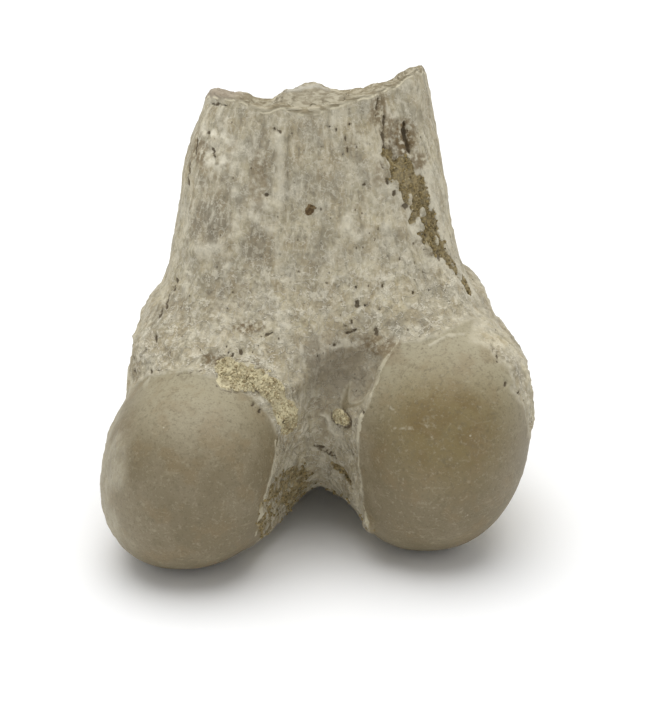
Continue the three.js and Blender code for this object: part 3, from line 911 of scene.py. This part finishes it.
    def ridges_and_veins(self):
        """The low ridges of the back face, its pale vein, and the step along its flaked edge."""
        p, back = self.p, self.back
        x, _, z = p
        seen = self.behind * self.raw
        ridge = hump(nearest(back, RIDGES) + 0.25 * noise(p, 0.9, 61), 0.0, 0.46) * seen
        away = along(back, VEIN_PATH)[0] + 0.1 * noise(p, 0.7, 63)
        vein = ease(1.25 * VEIN_WIDTH, 0.7 * VEIN_WIDTH, away) * seen
        flake = ease(0.5, 0.0, along(back, FLAKE_PATH)[0]) * seen * (x > np.interp(z, *flake_line()))
        self.height += 0.32 * ridge + 0.18 * vein - 0.22 * flake * ease(26.0, 31.0, z)
        self.whiten(0.45 * ridge * ease(-0.3, 0.3, layered(p, 0.7, 83, 2)), 0.35 * vein)

    def scratches_and_edges(self):
        """Thin pale scratches, and the raised edges of the joint surfaces."""
        away = nearest(self.back, PALE_LINES) + 0.06 * noise(self.p, 0.4, 64)
        scratches = ease(0.09, 0.02, away) * self.behind
        cap_edge = hump(self.joint, 0.5, 0.25)
        self.height += 0.05 * scratches + 0.07 * self.lip + 0.03 * cap_edge
        self.whiten(0.3 * scratches, 0.2 * cap_edge)

    def pale_patches(self):
        p = self.p
        rough = patches(self.back, PALE_PATCHES, self.uneven) * self.behind * self.raw
        self.height += rough * 0.34 * layered(p, 0.55, 68, 3)
        self.whiten(rough * ease(-0.35, 0.3, layered(p, 0.45, 69, 2)))
        self.darken(ease(0.4, 0.8, rough) * 0.8 * ease(0.1, 0.6, specks(p, 0.6, 0.5, 0.36, 81)))

    def spongy_inside(self):
        """The broken face's spongy middle; returns how surely each point is on it."""
        p = self.p
        spongy = self.broken * ease(WALL_OF_SHAFT - 0.5, WALL_OF_SHAFT + 0.4, -shaft(p))
        self.height -= spongy * 0.22 * ease(0.1, 0.8, specks(p, 0.75, 0.8, 0.55, 71))
        self.height += self.broken * 0.07 * layered(p, 0.45, 72, 2)
        return spongy

    def marks(self, spongy):
        """What the material and the grains read at each point, from 0 to 1."""
        back, behind, raw, uneven = self.back, self.behind, self.raw, self.uneven
        # Painted shade: the fossa darkened round its middle and the whole notch faintly, but not the joint
        # surfaces.
        hollow = near_place(self.p, HOLLOW_SHADE, 6.4 + 1.5 * uneven)
        hollow = np.maximum(hollow, 0.3 * self.in_notch) * (1.0 - 0.9 * self.joint)
        return {
            "joint": self.joint,
            "broken": self.broken,
            "hollow": hollow * (1.0 - self.crust),
            "olive": near_place(self.p, OLIVE_STAIN, 9.0) * self.outer_cap,
            "shade": patches(back, SHADE_PATCHES, uneven) * behind * raw,
            "brown": patches(back, BROWN_PATCHES, uneven) * behind,
            "sediment": self.sediment,
            "crust": self.crust,
            "pale": clamp(self.pale),
            "dark": clamp(self.dark),
            "lip": self.lip,
            "pitted": raw * clamp(0.35 + 0.65 * ease(31.0, 24.0, self.p[2])) * behind,
            "spongy": spongy,
            "keep_fine": clamp(behind * (0.55 + 0.45 * raw) + self.broken),
        }


def marks_and_relief(points, facing):
    """The marks at each point, and the height of the relief there."""
    worn = Weathering(points, facing)
    worn.lumps_and_fibres()
    worn.pits_and_flanks()
    worn.holes_and_cracks()
    worn.sand_in_groove()
    worn.crust_by_notch()
    worn.notch_walls()
    worn.notch_pits()
    worn.slot_and_streaks()
    worn.curl_in_notch()
    worn.ridges_and_veins()
    worn.scratches_and_edges()
    worn.pale_patches()
    marks = worn.marks(worn.spongy_inside())
    return marks, worn.height * ease(0.05, 0.7, worn.p[2])


def flake_line():
    """The flake's edge as heights and the x at each, lowest first."""
    line = sorted((z, x) for x, z in FLAKE_PATH)
    return [z for z, x in line], [x for z, x in line]


# Meshes and materials


def new_piece(name, points, faces):
    """A mesh object from points in metres."""
    mesh = bpy.data.meshes.new(name)
    mesh.vertices.add(len(points))
    mesh.vertices.foreach_set("co", np.asarray(points, np.float32).ravel())
    corners = faces.shape[1]
    mesh.loops.add(faces.size)
    mesh.loops.foreach_set("vertex_index", faces.astype(np.int32).ravel())
    mesh.polygons.add(len(faces))
    mesh.polygons.foreach_set("loop_start", np.arange(0, faces.size, corners, dtype=np.int32))
    mesh.update(calc_edges=True)
    mesh.validate()
    mesh.shade_smooth()
    piece = bpy.data.objects.new(name, mesh)
    bpy.context.scene.collection.objects.link(piece)
    return piece


def give_marks(mesh, marks, ways):
    for name, values in marks.items():
        mark = mesh.attributes.new(name, "FLOAT", "POINT")
        mark.data.foreach_set("value", values.astype(np.float32))
    for name, values in ways.items():
        way = mesh.attributes.new(name, "FLOAT_VECTOR", "POINT")
        way.data.foreach_set("vector", values.astype(np.float32).ravel())


def fibre_ways(points):
    """Coordinates along the fibres: fanning with the shaft, and wrapping the outer condyle."""
    p = list(points.T)
    x, y, z = p
    half = (curve_through(z, OUTER_EDGE) - curve_through(z, INNER_EDGE)) / 2
    fan = np.stack([x / half * 13.0, y, z], 1)
    wrap = np.stack([lump(p, **OUTER_CONDYLE), x, y], 1)
    across = ease(3.0, 7.0, x + 0.4 * (24.0 - z)) * ease(25.5, 23.0, z)
    return {"fan": fan, "wrap": wrap}, across


def thin_out(piece, fineness, triangles):
    """Fewer triangles where the surface is plain; fineness from 0 to 1 is where they are kept."""
    if triangles <= MOST_TRIANGLES:
        return
    group = piece.vertex_groups.new(name="plain")
    steps = 4
    level = np.round((1.0 - fineness) * steps).astype(int)
    for n in range(1, steps + 1):
        group.add(np.nonzero(level == n)[0].tolist(), n / steps, "REPLACE")
    thin = piece.modifiers.new("thin", "DECIMATE")
    thin.ratio = MOST_TRIANGLES / triangles
    thin.vertex_group = group.name
    thin.vertex_group_factor = 1.0
    seen = piece.evaluated_get(bpy.context.evaluated_depsgraph_get())
    mesh = bpy.data.meshes.new_from_object(seen)
    piece.modifiers.clear()
    piece.vertex_groups.clear()
    old, piece.data = piece.data, mesh
    bpy.data.meshes.remove(old)
    mesh.name = piece.name
    mesh.shade_smooth()


class Mixture:
    """Short ways to add and join the nodes of one material."""

    def __init__(self, name):
        self.material = bpy.data.materials.new(name)
        self.material.use_nodes = True
        self.tree = self.material.node_tree
        self.tree.nodes.clear()
        self.out = self.add("ShaderNodeOutputMaterial")
        place = self.add("ShaderNodeTexCoord").outputs["Object"]
        self.place = self.scaled(place, (1 / MM, 1 / MM, 1 / MM))

    def add(self, kind, inputs=None, **settings):
        made = self.tree.nodes.new(kind)
        for key, value in settings.items():
            setattr(made, key, value)
        for key, value in (inputs or {}).items():
            self.feed(made.inputs[key], value)
        return made

    def feed(self, socket, value):
        if isinstance(value, bpy.types.NodeSocket):
            self.tree.links.new(value, socket)
        elif hasattr(value, "__len__") and len(value) == 3 and len(socket.default_value) == 4:
            socket.default_value = (*value, 1.0)
        else:
            socket.default_value = value

    def scaled(self, vector, scale):
        return self.add("ShaderNodeMapping", {"Vector": vector, "Scale": scale}).outputs["Vector"]

    def noise(self, scale, detail=2.0, stretch=None, roughness=0.55):
        where = self.scaled(self.place, stretch) if stretch else self.place
        inputs = {"Vector": where, "Scale": scale, "Detail": detail, "Roughness": roughness}
        return self.add("ShaderNodeTexNoise", inputs).outputs["Fac"]

    def noise_at(self, where, scale, detail):
        inputs = {"Vector": where, "Scale": scale, "Detail": detail, "Roughness": 0.6}
        return self.add("ShaderNodeTexNoise", inputs).outputs["Fac"]

    def way(self, name):
        return self.add("ShaderNodeAttribute", attribute_name=name).outputs["Vector"]

    def part(self, axis):
        return self.add("ShaderNodeSeparateXYZ", {"Vector": self.place}).outputs[axis]

    def blend(self, share, a, b):
        """A number between a and b."""
        return self.plus(a, self.times(share, self.less(b, a)))

    def spots(self, scale, size, share, stretch=None):
        """1 in scattered spots of the given size, in this share of the cells."""
        where = self.scaled(self.place, stretch) if stretch else self.place
        cells = self.add("ShaderNodeTexVoronoi", {"Vector": where, "Scale": scale})
        spot = self.step(cells.outputs["Distance"], size, size * 0.5)
        chosen = self.add("ShaderNodeSeparateColor", {"Color": cells.outputs["Color"]}).outputs["Red"]
        return self.times(spot, self.step(chosen, 1.0 - share, 1.0 - share + 0.02))

    def step(self, value, low, high):
        """0 at low and 1 at high, with a smooth rise; high may be below low."""
        if high < low:
            inputs = {"Value": value, "From Min": high, "From Max": low, "To Min": 1.0, "To Max": 0.0}
        else:
            inputs = {"Value": value, "From Min": low, "From Max": high, "To Min": 0.0, "To Max": 1.0}
        return self.add("ShaderNodeMapRange", inputs, interpolation_type="SMOOTHSTEP").outputs["Result"]

    def sum(self, operation, a, b):
        made = self.add("ShaderNodeMath", operation=operation)
        self.feed(made.inputs[0], a)
        self.feed(made.inputs[1], b)
        return made.outputs[0]

    def times(self, a, b):
        return self.sum("MULTIPLY", a, b)

    def plus(self, a, b):
        return self.sum("ADD", a, b)

    def less(self, a, b):
        return self.sum("SUBTRACT", a, b)

    def mark(self, name):
        return self.add("ShaderNodeAttribute", attribute_name=name).outputs["Fac"]

    def crisp(self, name, scale, low=0.36, high=0.60):
        """A mark with its edge made ragged by noise and then sharpened."""
        ragged = self.times(self.less(self.noise(scale, 3.0), 0.5), 0.7)
        return self.step(self.plus(self.mark(name), ragged), low, high)

    def away(self, place):
        """Distance from a place, in millimetres."""
        gap = self.add("ShaderNodeVectorMath", {0: self.place, 1: place}, operation="DISTANCE")
        return gap.outputs["Value"]

    def mix(self, share, a, b, blend="MIX"):
        made = self.add("ShaderNodeMix", data_type="RGBA", blend_type=blend, clamp_factor=True)
        self.feed(made.inputs[0], share)
        self.feed(made.inputs[6], a)
        self.feed(made.inputs[7], b)
        return made.outputs[2]

    def tinted(self, colour, tint, pattern, low, high, share):
        """The colour with a share of a tint over it, as the pattern runs from low to high."""
        return self.mix(self.times(self.step(pattern, low, high), share), colour, tint)

    def finish(self, colour, roughness, height=None, **sockets):
        """Joins the shader up; height is in millimetres."""
        inputs = {"Base Color": colour, "Roughness": roughness}
        inputs.update(sockets)
        if height is not None:
            bump = self.add("ShaderNodeBump", {"Height": height, "Strength": 1.0, "Distance": MM})
            inputs["Normal"] = bump.outputs["Normal"]
        shader = self.add("ShaderNodeBsdfPrincipled", inputs)
        self.tree.links.new(shader.outputs["BSDF"], self.out.inputs["Surface"])
        return self.material


def darker(colour, share):
    return tuple(c * share for c in colour)


def shaft_colour(m, settings, bare, fibre, fine, knobbly, veins):
    """Mottled grey and cream, with fibres, pores and pale veins over it."""
    grey, cream = tuple(settings.bone_grey), tuple(settings.bone_cream)
    warm = m.noise(0.6, 4.0, (1.0, 1.0, 0.45), roughness=0.65)
    middling = m.noise(0.75, 3.0, (1.0, 1.0, 0.6), roughness=0.6)
    pitted = m.mark("pitted")
    colour = m.mix(m.step(m.noise(0.25, 4.0), 0.36, 0.64), grey, cream)
    colour = m.tinted(colour, ASH, m.noise(0.4, 3.0), 0.45, 0.62, 0.55)
    colour = m.tinted(colour, STRAW, m.noise(0.33, 3.0, (1.0, 1.0, 0.7)), 0.47, 0.36, 0.6)
    colour = m.mix(m.times(m.mark("shade"), 0.95), colour, SHADE)
    for tint, pattern, low, high, share in (
        (EARTH, warm, 0.50, 0.60, m.times(bare, 0.5)),
        (PALE_BONE, warm, 0.46, 0.36, m.times(bare, 0.5)),
        (UMBER, m.noise(0.55, 3.0), 0.52, 0.70, 0.4),
        (darker(grey, 0.6), middling, 0.50, 0.64, 0.4),
        (CREAM_CLOUD, middling, 0.48, 0.36, 0.4),
        (darker(grey, 0.5), fibre, 0.52, 0.68, 0.5),
        (CREAM_FIBRE, fibre, 0.46, 0.33, 0.45),
        (darker(grey, 0.45), fine, 0.54, 0.68, 0.4),
        (CREAM_GRAIN, fine, 0.44, 0.32, 0.4),
        (CHALK, knobbly, 0.46, 0.34, m.times(pitted, 0.6)),
        (PORE, knobbly, 0.56, 0.68, m.times(pitted, 0.5)),
        (VEIN, veins, 0.022, 0.0, m.plus(0.25, m.times(pitted, 0.4))),
    ):
        colour = m.tinted(colour, tint, pattern, low, high, share)
    return colour


def joint_colour(m, settings):
    """The smooth joint surfaces: darker below, paler above, olive on the outer condyle."""
    colour = m.mix(m.step(m.noise(0.2, 3.0), 0.4, 0.62), tuple(settings.joint_grey), JOINT_FAWN)
    colour = m.mix(m.step(m.part("Z"), 13.0, 19.5), colour, JOINT_PALE_ABOVE)
    stain = m.times(m.mark("olive"), m.plus(0.7, m.times(m.noise(0.5, 3.0), 0.5)))
    colour = m.mix(stain, colour, tuple(settings.joint_olive))
    for tint, pattern, low, high, share in (
        (DEEP_OLIVE, stain, 0.5, 1.1, m.step(m.noise(0.45, 3.0), 0.42, 0.6)),
        (JOINT_BROWN, m.noise(0.32, 3.0), 0.5, 0.64, 0.4),
        (JOINT_DARK, m.noise(1.5, 5.0, roughness=0.7), 0.5, 0.68, 0.5),
        (JOINT_PALE, m.noise(1.9, 5.0, roughness=0.7), 0.47, 0.32, 0.4),
        (JOINT_STREAK, m.noise(1.0, 5.0, (0.5, 0.5, 1.9)), 0.40, 0.28, 0.22),
        (JOINT_GRAIN, m.noise(5.0, 3.0), 0.42, 0.30, 0.25),
        (JOINT_PORE, m.noise(4.2, 3.0), 0.54, 0.68, 0.4),
    ):
        colour = m.tinted(colour, tint, pattern, low, high, share)
    colour = m.mix(m.times(m.spots(1.1, 0.15, 0.06), 0.6), colour, (0.54, 0.50, 0.38))
    return m.mix(m.times(m.spots(1.6, 0.11, 0.14), 0.7), colour, (0.10, 0.075, 0.04))


def broken_colour(m, layers):
    """The broken face: the layered wall of the shaft, and the spongy bone inside it."""
    left_hump = m.times(m.step(m.part("X"), -6.4, -8.2), 0.75)
    wall = m.mix(m.step(layers, 0.42, 0.60), (0.27, 0.225, 0.14), (0.46, 0.41, 0.295))
    wall = m.mix(left_hump, wall, (0.345, 0.285, 0.215))
    sponge = m.noise(1.6, 4.0, (0.6, 0.6, 2.0))
    sponge = m.mix(m.step(sponge, 0.42, 0.6), (0.22, 0.18, 0.105), (0.42, 0.375, 0.265))
    sponge = m.mix(m.times(m.spots(1.5, 0.2, 0.25), 0.6), sponge, (0.13, 0.095, 0.045))
    sponge = m.mix(left_hump, sponge, (0.30, 0.235, 0.165))
    far_peak = m.times(m.step(m.part("Y"), 5.0, 8.0), m.step(m.away(FAR_PEAK_TOP), 6.0, 4.0))
    wall = m.mix(m.times(far_peak, 0.6), wall, (0.50, 0.485, 0.43))
    return m.mix(m.times(m.mark("spongy"), 0.8), wall, sponge)


def sand_colour(m, settings):
    dark = darker(settings.sediment, 0.6)
    colour = m.mix(m.step(m.noise(3.0, 2.0), 0.42, 0.6), dark, tuple(settings.sediment))
    colour = m.mix(m.times(m.spots(3.0, 0.34, 0.22), 0.7), colour, (0.50, 0.43, 0.25))
    return m.mix(m.times(m.spots(2.2, 0.36, 0.22), 0.8), colour, (0.085, 0.06, 0.028))


def crust_colour(m, settings):
    colour = m.mix(m.step(m.noise(3.2, 3.0), 0.48, 0.68), tuple(settings.crust), (0.24, 0.185, 0.095))
    return m.tinted(colour, (0.33, 0.275, 0.165), m.noise(0.9, 3.0), 0.46, 0.60, 0.55)


def stained(m, colour, settings):
    """The colour with painted shade in the notch, a painted highlight on its edges, pale and brown marks,
    sand, crust and the iron spot.
    """
    # Painted shade in the notch and its fossa.
    colour = m.mix(m.times(m.mark("hollow"), 0.72), colour, (0.205, 0.168, 0.112))
    colour = m.mix(m.mark("pale"), colour, CHALK)
    # Painted highlight: a thin pale line along the notch's edges.
    colour = m.mix(m.times(m.crisp("lip", 3.0), 0.7), colour, (0.55, 0.50, 0.365))
    brown = m.times(m.mark("brown"), m.step(m.noise(2.2, 3.0), 0.36, 0.58))
    colour = m.mix(brown, colour, (0.175, 0.125, 0.062))
    colour = m.mix(m.times(m.crisp("sediment", 2.6, 0.30, 0.72), 0.85), colour, sand_colour(m, settings))
    colour = m.mix(m.crisp("crust", 2.2), colour, crust_colour(m, settings))
    rust = m.plus(m.away(IRON_SPOT), m.times(m.less(m.noise(1.4, 4.0), 0.5), 1.7))
    rusty = m.mix(m.step(m.noise(3.0, 2.0), 0.45, 0.6), (0.085, 0.050, 0.018), (0.17, 0.115, 0.05))
    return m.mix(m.step(rust, IRON_RADIUS + 0.06, IRON_RADIUS - 0.06), colour, rusty)


def bone_material(settings):
    """Weathered bone: mottled grey and cream, fibres along the shaft, smooth stained joints."""
    m = Mixture("weathered_bone")
    joint, broken, pitted = m.mark("joint"), m.mark("broken"), m.mark("pitted")
    bare = m.times(m.less(1.0, joint), m.less(1.0, broken))
    fan = m.scaled(m.way("fan"), (1.0, 1.0, 0.16))
    wrap = m.scaled(m.way("wrap"), (1.0, 0.16, 0.16))
    fibre = m.blend(m.mark("across"), m.noise_at(fan, 2.2, 4.0), m.noise_at(wrap, 2.2, 4.0))
    fine = m.noise(2.6, 4.0, roughness=0.6)
    knobbly = m.noise(1.2, 4.0, roughness=0.6)
    layers = m.noise(1.6, 4.0, (0.5, 0.5, 2.4))
    veins = m.sum("ABSOLUTE", m.less(m.noise(0.9, 3.0, roughness=0.5), 0.5), 0.0)

    colour = shaft_colour(m, settings, bare, fibre, fine, knobbly, veins)
    colour = m.mix(joint, colour, joint_colour(m, settings))
    colour = m.mix(broken, colour, broken_colour(m, layers))
    rim = m.times(m.step(broken, 0.25, 0.5), m.step(broken, 0.95, 0.6))
    colour = m.tinted(colour, (0.66, 0.60, 0.44), m.noise(0.9, 3.0), 0.60, 0.44, rim)
    colour = stained(m, colour, settings)
    tiny = m.times(m.spots(1.7, 0.14, 0.26, (1.0, 1.0, 0.5)), bare)
    holes = m.crisp("dark", 4.0, 0.36, 0.80)
    dark = m.sum("MAXIMUM", m.times(holes, 0.85), m.times(tiny, 0.75))
    colour = m.mix(dark, colour, (0.092, 0.064, 0.032))

    height = m.times(m.less(fibre, 0.5), m.times(bare, -0.10))
    height = m.plus(height, m.times(m.less(fine, 0.5), m.plus(-0.03, m.times(bare, -0.10))))
    height = m.plus(height, m.times(m.less(knobbly, 0.5), m.times(pitted, -0.35)))
    height = m.plus(height, m.times(m.less(m.noise(6.0, 3.0), 0.5), 0.035))
    height = m.plus(height, m.times(m.less(layers, 0.5), m.times(broken, 0.4)))
    height = m.plus(height, m.times(m.step(veins, 0.03, 0.0), m.times(pitted, 0.05)))
    height = m.less(height, m.times(tiny, 0.06))
    rough = m.less(0.80, m.times(joint, 0.24))
    return m.finish(colour, rough, height, **{"Specular IOR Level": 0.40})


def grain_material(name, light, dark):
    """Sand or crust: each few grains of another shade."""
    m = Mixture(name)
    shade = m.step(m.noise(3.2, 2.0), 0.38, 0.62)
    colour = m.mix(shade, dark, light)
    glint = m.times(m.spots(3.0, 0.35, 0.18), 0.7)
    colour = m.mix(glint, colour, (0.60, 0.54, 0.38))
    height = m.times(m.noise(9.0, 2.0), 0.03)
    return m.finish(colour, 0.8, height)


# Grains laid over the bone by geometry nodes


def socket_named(tree, name):
    return next(item.identifier for item in tree.interface.items_tree if item.name == name)


def grain_tree(name, material):
    """Little rough stones, strewn where a mark on the surface is strong."""
    tree = bpy.data.node_groups.new(name, "GeometryNodeTree")
    face = tree.interface
    face.new_socket("Surface", in_out="INPUT", socket_type="NodeSocketGeometry")
    for label, kind in (
        ("Mark", "NodeSocketString"),
        ("Per Area", "NodeSocketFloat"),
        ("Smallest", "NodeSocketFloat"),
        ("Largest", "NodeSocketFloat"),
        ("Raggedness", "NodeSocketFloat"),
        ("Seed", "NodeSocketInt"),
    ):
        face.new_socket(label, in_out="INPUT", socket_type=kind)
    face.new_socket("Grains", in_out="OUTPUT", socket_type="NodeSocketGeometry")
    nodes, links = tree.nodes, tree.links

    def add(kind, inputs=None, **settings):
        made = nodes.new(kind)
        for key, value in settings.items():
            setattr(made, key, value)
        for key, value in (inputs or {}).items():
            if isinstance(value, bpy.types.NodeSocket):
                links.new(value, made.inputs[key])
            else:
                made.inputs[key].default_value = value
        return made

    given = add("NodeGroupInput").outputs
    mark = add("GeometryNodeInputNamedAttribute", {"Name": given["Mark"]}, data_type="FLOAT")
    strewn = add(
        "GeometryNodeDistributePointsOnFaces",
        {"Mesh": given["Surface"], "Seed": given["Seed"]},
    )
    strong = add("ShaderNodeMath", {0: mark.outputs["Attribute"], 1: 2.0}, operation="POWER")
    density = add("ShaderNodeMath", {0: strong.outputs[0], 1: given["Per Area"]}, operation="MULTIPLY")
    links.new(density.outputs[0], strewn.inputs["Density"])
    stone = add("GeometryNodeMeshIcoSphere", {"Radius": 0.5, "Subdivisions": 1})
    turn = add(
        "FunctionNodeRandomValue",
        {"Max": (math.tau, math.tau, math.tau), "Seed": given["Seed"]},
        data_type="FLOAT_VECTOR",
    )
    size = add("FunctionNodeRandomValue", data_type="FLOAT")
    links.new(given["Smallest"], size.inputs[2])
    links.new(given["Largest"], size.inputs[3])
    links.new(given["Seed"], size.inputs["Seed"])
    laid = add(
        "GeometryNodeInstanceOnPoints",
        {
            "Points": strewn.outputs["Points"],
            "Instance": stone.outputs["Mesh"],
            "Rotation": turn.outputs["Value"],
            "Scale": size.outputs[1],
        },
    )
    real = add("GeometryNodeRealizeInstances", {"Geometry": laid.outputs["Instances"]})
    rough = add("ShaderNodeTexNoise", {"Scale": 5200.0, "Detail": 0.0})
    half = (0.5, 0.5, 0.5)
    centred = add("ShaderNodeVectorMath", {0: rough.outputs["Color"], 1: half}, operation="SUBTRACT")
    offset = add("ShaderNodeVectorMath", {0: centred.outputs[0]}, operation="SCALE")
    links.new(given["Raggedness"], offset.inputs["Scale"])
    placed = {"Geometry": real.outputs["Geometry"], "Offset": offset.outputs[0]}
    moved = add("GeometryNodeSetPosition", placed)
    done = add("GeometryNodeSetMaterial", {"Geometry": moved.outputs["Geometry"], "Material": material})
    out = add("NodeGroupOutput")
    links.new(done.outputs["Geometry"], out.inputs["Grains"])
    return tree


def strew(name, bone, tree, values):
    """A piece made of grains that lie on the bone."""
    carrier = bpy.data.objects.new(name + "_carrier", bone.data)
    bpy.context.scene.collection.objects.link(carrier)
    grains = carrier.modifiers.new("grains", "NODES")
    grains.node_group = tree
    for label, value in values.items():
        grains[socket_named(tree, label)] = value
    evaluated = carrier.evaluated_get(bpy.context.evaluated_depsgraph_get())
    mesh = bpy.data.meshes.new_from_object(evaluated)
    bpy.data.objects.remove(carrier)
    mesh.name = name
    piece = bpy.data.objects.new(name, mesh)
    bpy.context.scene.collection.objects.link(piece)
    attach(piece, "root")


# Operators


class FOSSIL_OT_bone(bpy.types.Operator):
    """Lays out the bone's surface, its relief and its marks"""

    bl_idname = "fossil.bone"
    bl_label = "Thigh bone"

    def execute(self, context):
        settings = context.scene.fossil_bone
        low, high = (np.array(corner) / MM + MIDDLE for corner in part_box(CAD_NODE))
        low = low - ROOM_ROUND_BONE
        high = high + ROOM_ROUND_BONE
        grid = sampled(bone_shape, low, high, settings.cell)
        points, faces = skin(grid, low, settings.cell)
        points = settle(bone_shape, points)
        facing = slope(bone_shape, points, bone_shape(list(points.T)))
        facing /= np.maximum(np.linalg.norm(facing, axis=1), 1e-6)[:, None]
        marks, height = marks_and_relief(points, facing)
        ways, marks["across"] = fibre_ways(points)
        points = points + facing * (height * settings.relief)[:, None]
        points[:, 2] = np.maximum(points[:, 2], 0.0)
        bone = new_piece("thigh_bone", (points - MIDDLE) * MM, faces)
        fineness = marks.pop("keep_fine")
        give_marks(bone.data, marks, ways)
        thin_out(bone, fineness, 2 * len(faces))
        bone.data.materials.append(bone_material(settings))
        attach(bone, "root")
        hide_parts(CAD_NODE)
        return {"FINISHED"}


class FOSSIL_OT_grains(bpy.types.Operator):
    """Strews sand in the groove and the notch, and crust beside the notch"""

    bl_idname = "fossil.grains"
    bl_label = "Sediment and crust"

    def execute(self, context):
        settings = context.scene.fossil_grains
        bone = bpy.data.objects["thigh_bone"]
        colours = context.scene.fossil_bone
        per_area = settings.per_mm2 / MM**2
        rows = (
            ("groove_sand", "sediment", tuple(colours.sediment), darker(colours.sediment, 0.5)),
            ("notch_crust", "crust", tuple(colours.crust), CRUST_DARK),
        )
        for name, mark, light, dark in rows:
            tree = grain_tree(name + "_grains", grain_material(name, light, dark))
            inputs = {
                "Mark": mark,
                "Per Area": per_area,
                "Smallest": settings.grain * 0.5,
                "Largest": settings.grain * 1.5,
                "Raggedness": settings.grain * 0.6,
                "Seed": settings.seed,
            }
            strew(name, bone, tree, inputs)
        return {"FINISHED"}


class FOSSIL_OT_stage(bpy.types.Operator):
    """Sets the floor, the soft light and the camera"""

    bl_idname = "fossil.stage"
    bl_label = "Stage"

    def execute(self, context):
        settings = context.scene.fossil_stage
        scene = context.scene
        half = FLOOR_HALF
        corners = np.array([(-half, -half, 0), (half, -half, 0), (half, half, 0), (-half, half, 0)])
        floor = new_piece("floor", corners, np.array([[0, 1, 2, 3]]))
        paper = Mixture("pale_floor")
        floor.data.materials.append(paper.finish(tuple(settings.floor_colour), 0.9))

        world = bpy.data.worlds.new("soft_room")
        world.use_nodes = True
        room = world.node_tree.nodes["Background"]
        room.inputs["Color"].default_value = SKY_COLOUR
        room.inputs["Strength"].default_value = settings.sky
        scene.world = world

        lamp = bpy.data.lights.new("overhead_lamp", "AREA")
        lamp.shape = "DISK"
        lamp.size = LAMP_WIDTH
        lamp.energy = settings.lamp
        hung = bpy.data.objects.new("overhead_lamp", lamp)
        hung.location = LAMP_PLACE
        scene.collection.objects.link(hung)

        target = Vector(CAMERA_TARGET)
        back = Vector((0.0, -math.cos(settings.camera_elevation), math.sin(settings.camera_elevation)))
        lens = bpy.data.cameras.new("camera")
        lens.lens = settings.lens
        lens.sensor_width = 36.0
        lens.clip_start = 0.01
        camera = bpy.data.objects.new("camera", lens)
        camera.location = target + back * settings.camera_distance
        camera.rotation_euler = (-back).to_track_quat("-Z", "Y").to_euler()
        scene.collection.objects.link(camera)
        scene.camera = camera
        scene.view_settings.view_transform = "Standard"
        return {"FINISHED"}


class FOSSIL_PT_panel(bpy.types.Panel):
    """Lists the pieces in the order they are made"""

    bl_label = "Fossil thigh bone end"
    bl_space_type = "VIEW_3D"
    bl_region_type = "UI"
    bl_category = "Fossil"

    def draw(self, context):
        for operator in OPERATORS:
            self.layout.operator(operator.bl_idname)
        for group in (context.scene.fossil_bone, context.scene.fossil_grains, context.scene.fossil_stage):
            box = self.layout.box()
            for name in group.bl_rna.properties.keys():
                if name not in ("rna_type", "name"):
                    box.prop(group, name)


OPERATORS = (FOSSIL_OT_bone, FOSSIL_OT_grains, FOSSIL_OT_stage)
CLASSES = (FossilBoneSettings, FossilGrainSettings, FossilStageSettings, *OPERATORS, FOSSIL_PT_panel)


def register():
    for each in CLASSES:
        bpy.utils.register_class(each)
    bpy.types.Scene.fossil_bone = PointerProperty(type=FossilBoneSettings)
    bpy.types.Scene.fossil_grains = PointerProperty(type=FossilGrainSettings)
    bpy.types.Scene.fossil_stage = PointerProperty(type=FossilStageSettings)


def unregister():
    del bpy.types.Scene.fossil_bone
    del bpy.types.Scene.fossil_grains
    del bpy.types.Scene.fossil_stage
    for each in reversed(CLASSES):
        bpy.utils.unregister_class(each)


def main():
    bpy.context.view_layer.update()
    register()
    bpy.ops.fossil.bone()
    bpy.ops.fossil.grains()
    bpy.ops.fossil.stage()


if __name__ == "__main__":
    main()
